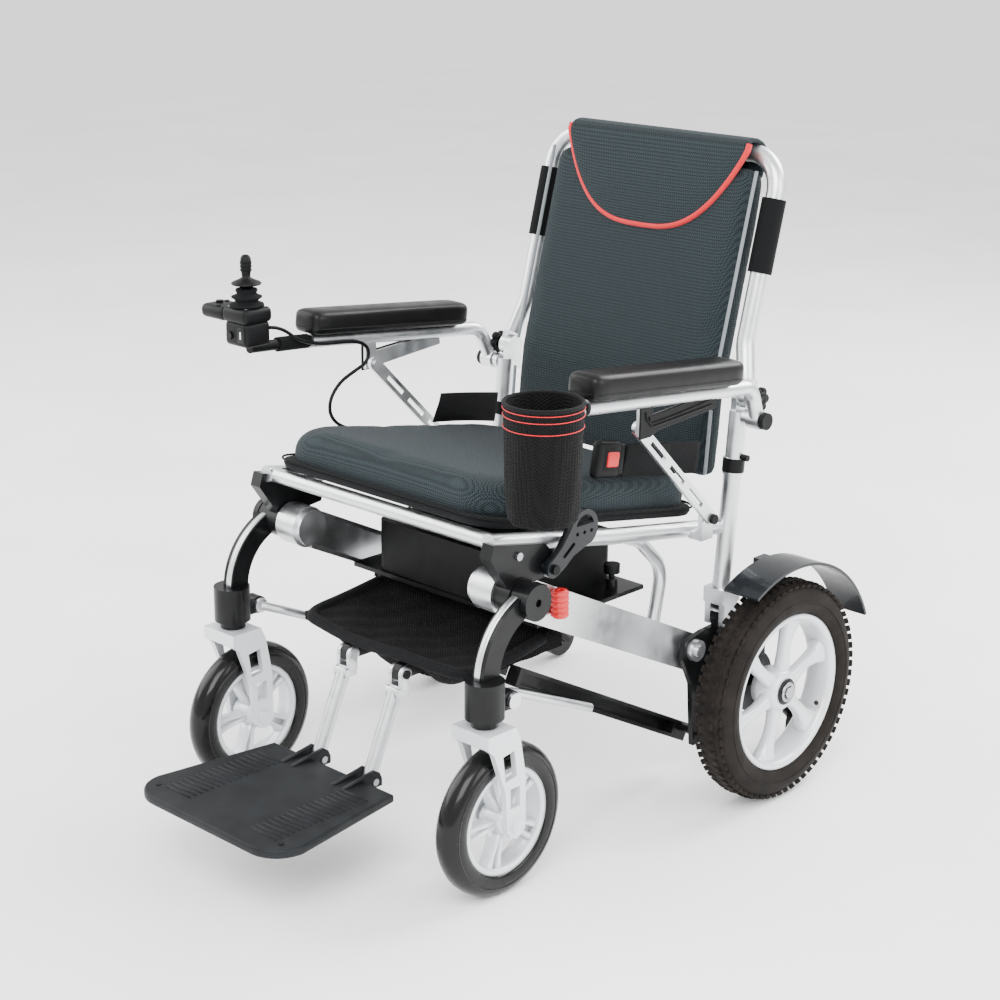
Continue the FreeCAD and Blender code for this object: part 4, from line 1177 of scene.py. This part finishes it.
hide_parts("joystick_box")
print("joystick case", len(case.data.polygons), "faces")

# %% Bellows and stick
ribs = [(662, 10), (662, 22), (663.5, 23), (665.5, 22.4), (666.5, 18), (668.5, 15.5), (671, 16),
        (674, 20.4), (675.2, 20.6), (676.6, 17), (679, 13), (681.6, 14), (684, 15), (685.4, 14),
        (686.2, 11), (686.4, 8), (684, 8), (672, 9)]
bellows = lathe("joystick_bellows", ribs, JOY, FOAM, 64, "Z")
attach(bellows, "armrest_r")
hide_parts("joystick_boot")
parts = [lathe("stick_body", [(666, 0.1), (666, 4.2), (688, 5), (691, 9), (691.3, 19.6), (693, 20.2),
                              (694.6, 18), (698, 10), (701, 5.6), (706, 6.2), (713, 7.2), (721, 7.5),
                              (727, 6.6), (730, 4), (731, 0.1)], JOY, PLASTIC, 64, "Z")]
for z in (709, 714, 719):
    parts.append(lathe("stick_grip", [(z, 6.4), (z, 7.6), (z + 1.2, 7.8), (z + 2.4, 7.6), (z + 2.4, 6.4)],
                       JOY, FOAM, 48, "Z"))
stick = join("joystick_knob", parts)
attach(stick, "stick")
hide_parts("joystick_stick")
print("joystick bellows and stick done")

# %% [markdown]
# ## Joystick cable
# The cable runs under the armrest pad, drops in a loop and goes back into the seat frame. A cord stays a
# curve: its control points are placed along its route, and it is given its thickness.

# %% Joystick cable
ROUTE = [(-240, -413, 632), (-240, -394, 630), (-235, -366, 607), (-233, -330, 597), (-233, -290, 594),
         (-233, -254, 588), (-233, -240, 574), (-233, -245, 557), (-233, -268, 549), (-233, -296, 538),
         (-233, -314, 518), (-233, -316, 496), (-233, -300, 477), (-233, -268, 464), (-233, -224, 455),
         (-233, -180, 449), (-228, -150, 442), (-213, -126, 429), (-213, -126, 404.2)]
line = smooth_line("joystick_lead", [at(*p) for p in ROUTE], 0.0025, resolution=8)
line.materials.append(PLASTIC)
lead = linked("joystick_lead", line)
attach(lead, "armrest_r")
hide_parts("joystick_cable")
print("joystick done")

# %% [markdown]
# ## Buffer and bracket bolts
# A red ribbed buffer sits beside the left hub. Its five ribs are one turned section whose outline
# repeats, so a loop writes the section.

# %% Buffer and bracket bolts
ribs = []
for k in range(5):
    z = 322 + 7 * k
    ribs += [(z, 9), (z + 1.2, 11.5), (z + 4.4, 11.5), (z + 5.6, 9)]
profile = [(321, 0.1), (321, 9)] + ribs + [(357, 9), (357, 0.1)]
buffer_red = lathe("red_buffer_left", profile, at(212, -332, 0), RED_PLASTIC, 48, "Z")
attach(buffer_red, "chair")
for side, sx in (("left", 1), ("right", -1)):
    bolts = [pin("bolt", sx * 221, sx * 225.5, y, z, 0.0052, STEEL) for y, z in ((-420, 425), (-372, 400))]
    hardware = join("bracket_bolts_" + side, bolts)
    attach(hardware, "chair")
print("buffer and bracket bolts done")

# %% [markdown]
# ## Plates cut from an outline
# Several flat parts are plates with holes. A filled 2D curve cuts them cleanly: each loop inside
# another one becomes a hole, and Extrude and Bevel give the plate its thickness and its soft edge.

# %% Plate cutter


def cutout(name, outline, holes, x, thick, look, edge=0.0006, level=False):
    """A flat plate with holes, in mm: upright from (y, z) with its near face at x, or level from
    (x, y) with its underside at height x."""
    curve = bpy.data.curves.new(name, "CURVE")
    curve.dimensions = "2D"
    curve.fill_mode = "BOTH"
    curve.extrude = thick / 2000 - edge
    curve.bevel_depth = edge
    curve.bevel_resolution = 1
    for loop in [outline] + holes:
        spline = curve.splines.new("POLY")
        spline.points.add(len(loop) - 1)
        for p, (y, z) in zip(spline.points, loop):
            p.co = (y / 1000, z / 1000, 0, 1)
        spline.use_cyclic_u = True
    plate = from_curve(name, curve, look)
    middle = (x + thick / 2) / 1000
    stand = Matrix(((0, 0, 1, middle), (1, 0, 0, AXLE_Y), (0, 1, 0, 0), (0, 0, 0, 1)))
    if level:
        stand = Matrix.Translation((0, AXLE_Y, middle))
    plate.data.transform(stand)
    return plate


def arc(cy, cz, r, a0, a1, steps=16):
    """Points along an arc in the YZ plane, angles in degrees."""
    return [(cy + r * math.cos(math.radians(a0 + (a1 - a0) * i / steps)),
             cz + r * math.sin(math.radians(a0 + (a1 - a0) * i / steps))) for i in range(steps + 1)]


print("plate cutter is ready")

# %% [markdown]
# ## Folding lever
# The lever has a round head with a half-moon window and three small holes, and a long slot in its
# neck. Its outline is two arcs joined by a few points.

# %% Folding lever
slot_dir = math.degrees(math.atan2(40, 56))
slot = (arc(-336.9, 423.8, 3, slot_dir - 90, slot_dir + 90, 8) +
        arc(-353.1, 412.2, 3, slot_dir + 90, slot_dir + 270, 8))
window = arc(-316, 441, 17, 12, 168)
head = arc(-316, 440, 23.8, -57, 128, 28)
neck = [(-337, 452), (-345, 440), (-358, 424), (-372, 413)]
foot = arc(-372, 400, 11, 110, 295, 14)
under = [(-352, 398), (-336, 410), (-318, 416)]
small_holes = [arc(-330 + 13 * i, 435, 3, 0, 345, 14) for i in range(3)]
lever = cutout("folding_lever_plate", head + neck + foot + under, [window, slot] + small_holes, 228, 10,
               GREY_GLOSS)
lever_bolt = pin("lever_bolt", 236, 242.4, -372, 400, 0.0062, PLASTIC)
lever = join("folding_lever_shaped", [lever, lever_bolt])
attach(lever, "lever")
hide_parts("folding_lever")
print("lever", len(lever.data.polygons), "faces")

# %% [markdown]
# ## Footplate
# The footplate is one moulded plate with round front corners, two fields of grip ribs and four
# gussets that carry its hinge. Half of the outline is drawn and the other half is its mirror image.

# %% Footplate
front = [(112, -531), (137.5, -697)] + arc(96, -700, 42, 0, -90, 10)
outline = front + [(-x, y) for x, y in reversed(front)]
parts = [cutout("foot_slab", outline, [], 99.5, 11.5, FOOT, 0.0025, level=True)]
for sx in (1, -1):
    x0, x1 = sorted((sx * 58, sx * 107))
    for i in range(17):
        y = -714 + 9.2 * i
        parts.append(rounded_block("foot_rib", at(x0, y, 109), at(x1, y + 3.4, 112.2), 0.0009, FOOT,
                                   segments=1))
    plug = [at(sx * 118, -716, z) for z in (110, 111, 111.8)]
    parts.append(cord_curve("foot_plug", plug, 0.0034, PLASTIC))
gusset = [(-499.5, 97), (-499.5, 106), (-503, 114), (-511, 118.5), (-520, 117), (-562, 111.5),
          (-562, 100), (-524, 97)]
for x in (36, 55.3, -42.7, -62):
    parts.append(cutout("foot_gusset", gusset, [], x, 6.7, FOOT, 0.001))
for x in (35, -63):
    parts.append(pin("foot_bar", x, x + 28, -510, 104, 0.0048, STEEL))
foot = join("footplate_shaped", parts)
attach(foot, "foot")
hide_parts("footplate")
print("footplate", len(foot.data.polygons), "faces")

# %% [markdown]
# ## Footrest legs
# Each leg is a round tube between an eye at the footplate and a forked knuckle at the bracket.

# %% Footrest legs
parts = [cord_curve("leg_tube", [at(49, y, z) for y, z in ((-459, 218), (-484, 163), (-508.5, 108))],
                    0.0098, SILVER),
         rounded_block("leg_yoke", at(37.4, -471, 204.5), at(60.6, -447.5, 219), 0.003, SILVER),
         lathe("leg_eye", [(43.3, 5.2), (43.3, 9), (44.3, 10), (53.7, 10), (54.7, 9), (54.7, 5.2)],
               at(0, -510, 104), SILVER, 40)]
for x in (37.2, 55.4):
    parts.append(lathe("leg_ear", [(x, 0.1), (x, 9), (x + 1, 10), (x + 4.6, 10), (x + 5.6, 9),
                                   (x + 5.6, 0.1)], at(0, -454, 235), SILVER, 40))
    parts.append(rounded_block("leg_cheek", at(x, -463.6, 212), at(x + 5.6, -447.4, 235), 0.0015, SILVER))
parts.append(pin("leg_bolt", 60, 63.6, -454, 235, 0.0058, PLASTIC))
parts.append(pin("leg_pin", 36.4, 61, -454, 235, 0.0055, STEEL))
place_pair(join("leg", parts), "footrest_leg_round", "legrest", "footrest_leg_%s")
print("footrest legs done")

# %% [markdown]
# ## Trim
# The last small pieces: a bright strip on each front arm's curved nose, a black slider on each
# armrest bracket where the strut runs when the armrest folds, and black bands and caps on the posts.

# %% Bright strips on the front arms
strip = []
for i in range(21):
    a = math.radians(104 + 74 * i / 20)
    ring = []
    for r, x in ((101.5, 228), (103, 229), (103, 237), (101.5, 238)):
        ring.append(at(x, -400 + r * math.cos(a), 285 + r * math.sin(a)))
    strip.append(ring)
nose = skin("arm_nose_strip", strip, SILVER)
place_pair(nose, "arm_nose_strip", "front_frame")
print("arm strips done")

# %% Strut sliders
outline = [(-235, 583), (-213, 581), (-213, 567), (-90, 575), (-84, 566), (-87, 554), (-200, 547),
           (-216, 541), (-235, 541)]
slider = [cutout("strut_slider", outline, [], 252.4, 3, PLASTIC)]
for lift in (0, 7):
    line = [at(256, -226 + lift, 574 - lift), at(256, -226 + lift, 561 - lift),
            at(256, -206, 556 - lift * 0.4), at(256, -95, 567 - lift)]
    slider.append(cord_curve("slider_rib", line, 0.0012, PLASTIC))
place_pair(join("slider", slider), "strut_slider", "armrest_%.1s")
print("strut sliders done")

# %% Post bands, pin ends, screws and bolts
band = [at(215, y, z) for y, z in ((10.3, 440), (11.2, 450), (12.2, 459))]
trim = [cord_curve("post_band", band, 0.0152, PLASTIC),
        pin("arm_pin_end", 256.5, 264, 17, 517, 0.0118, PLASTIC),
        pin("post_screw", 224, 238, 12.5, 462, 0.0045, PLASTIC),
        pin("strut_bolt", 243, 249, -68, 397, 0.0068, PLASTIC)]
place_pair(join("trim", trim), "post_trim", "chair")
print("post trim done")

# %% [markdown]
# ## Sizes and finish
# The last cell measures the finished chair.

# %% Sizes and finish
low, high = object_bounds()
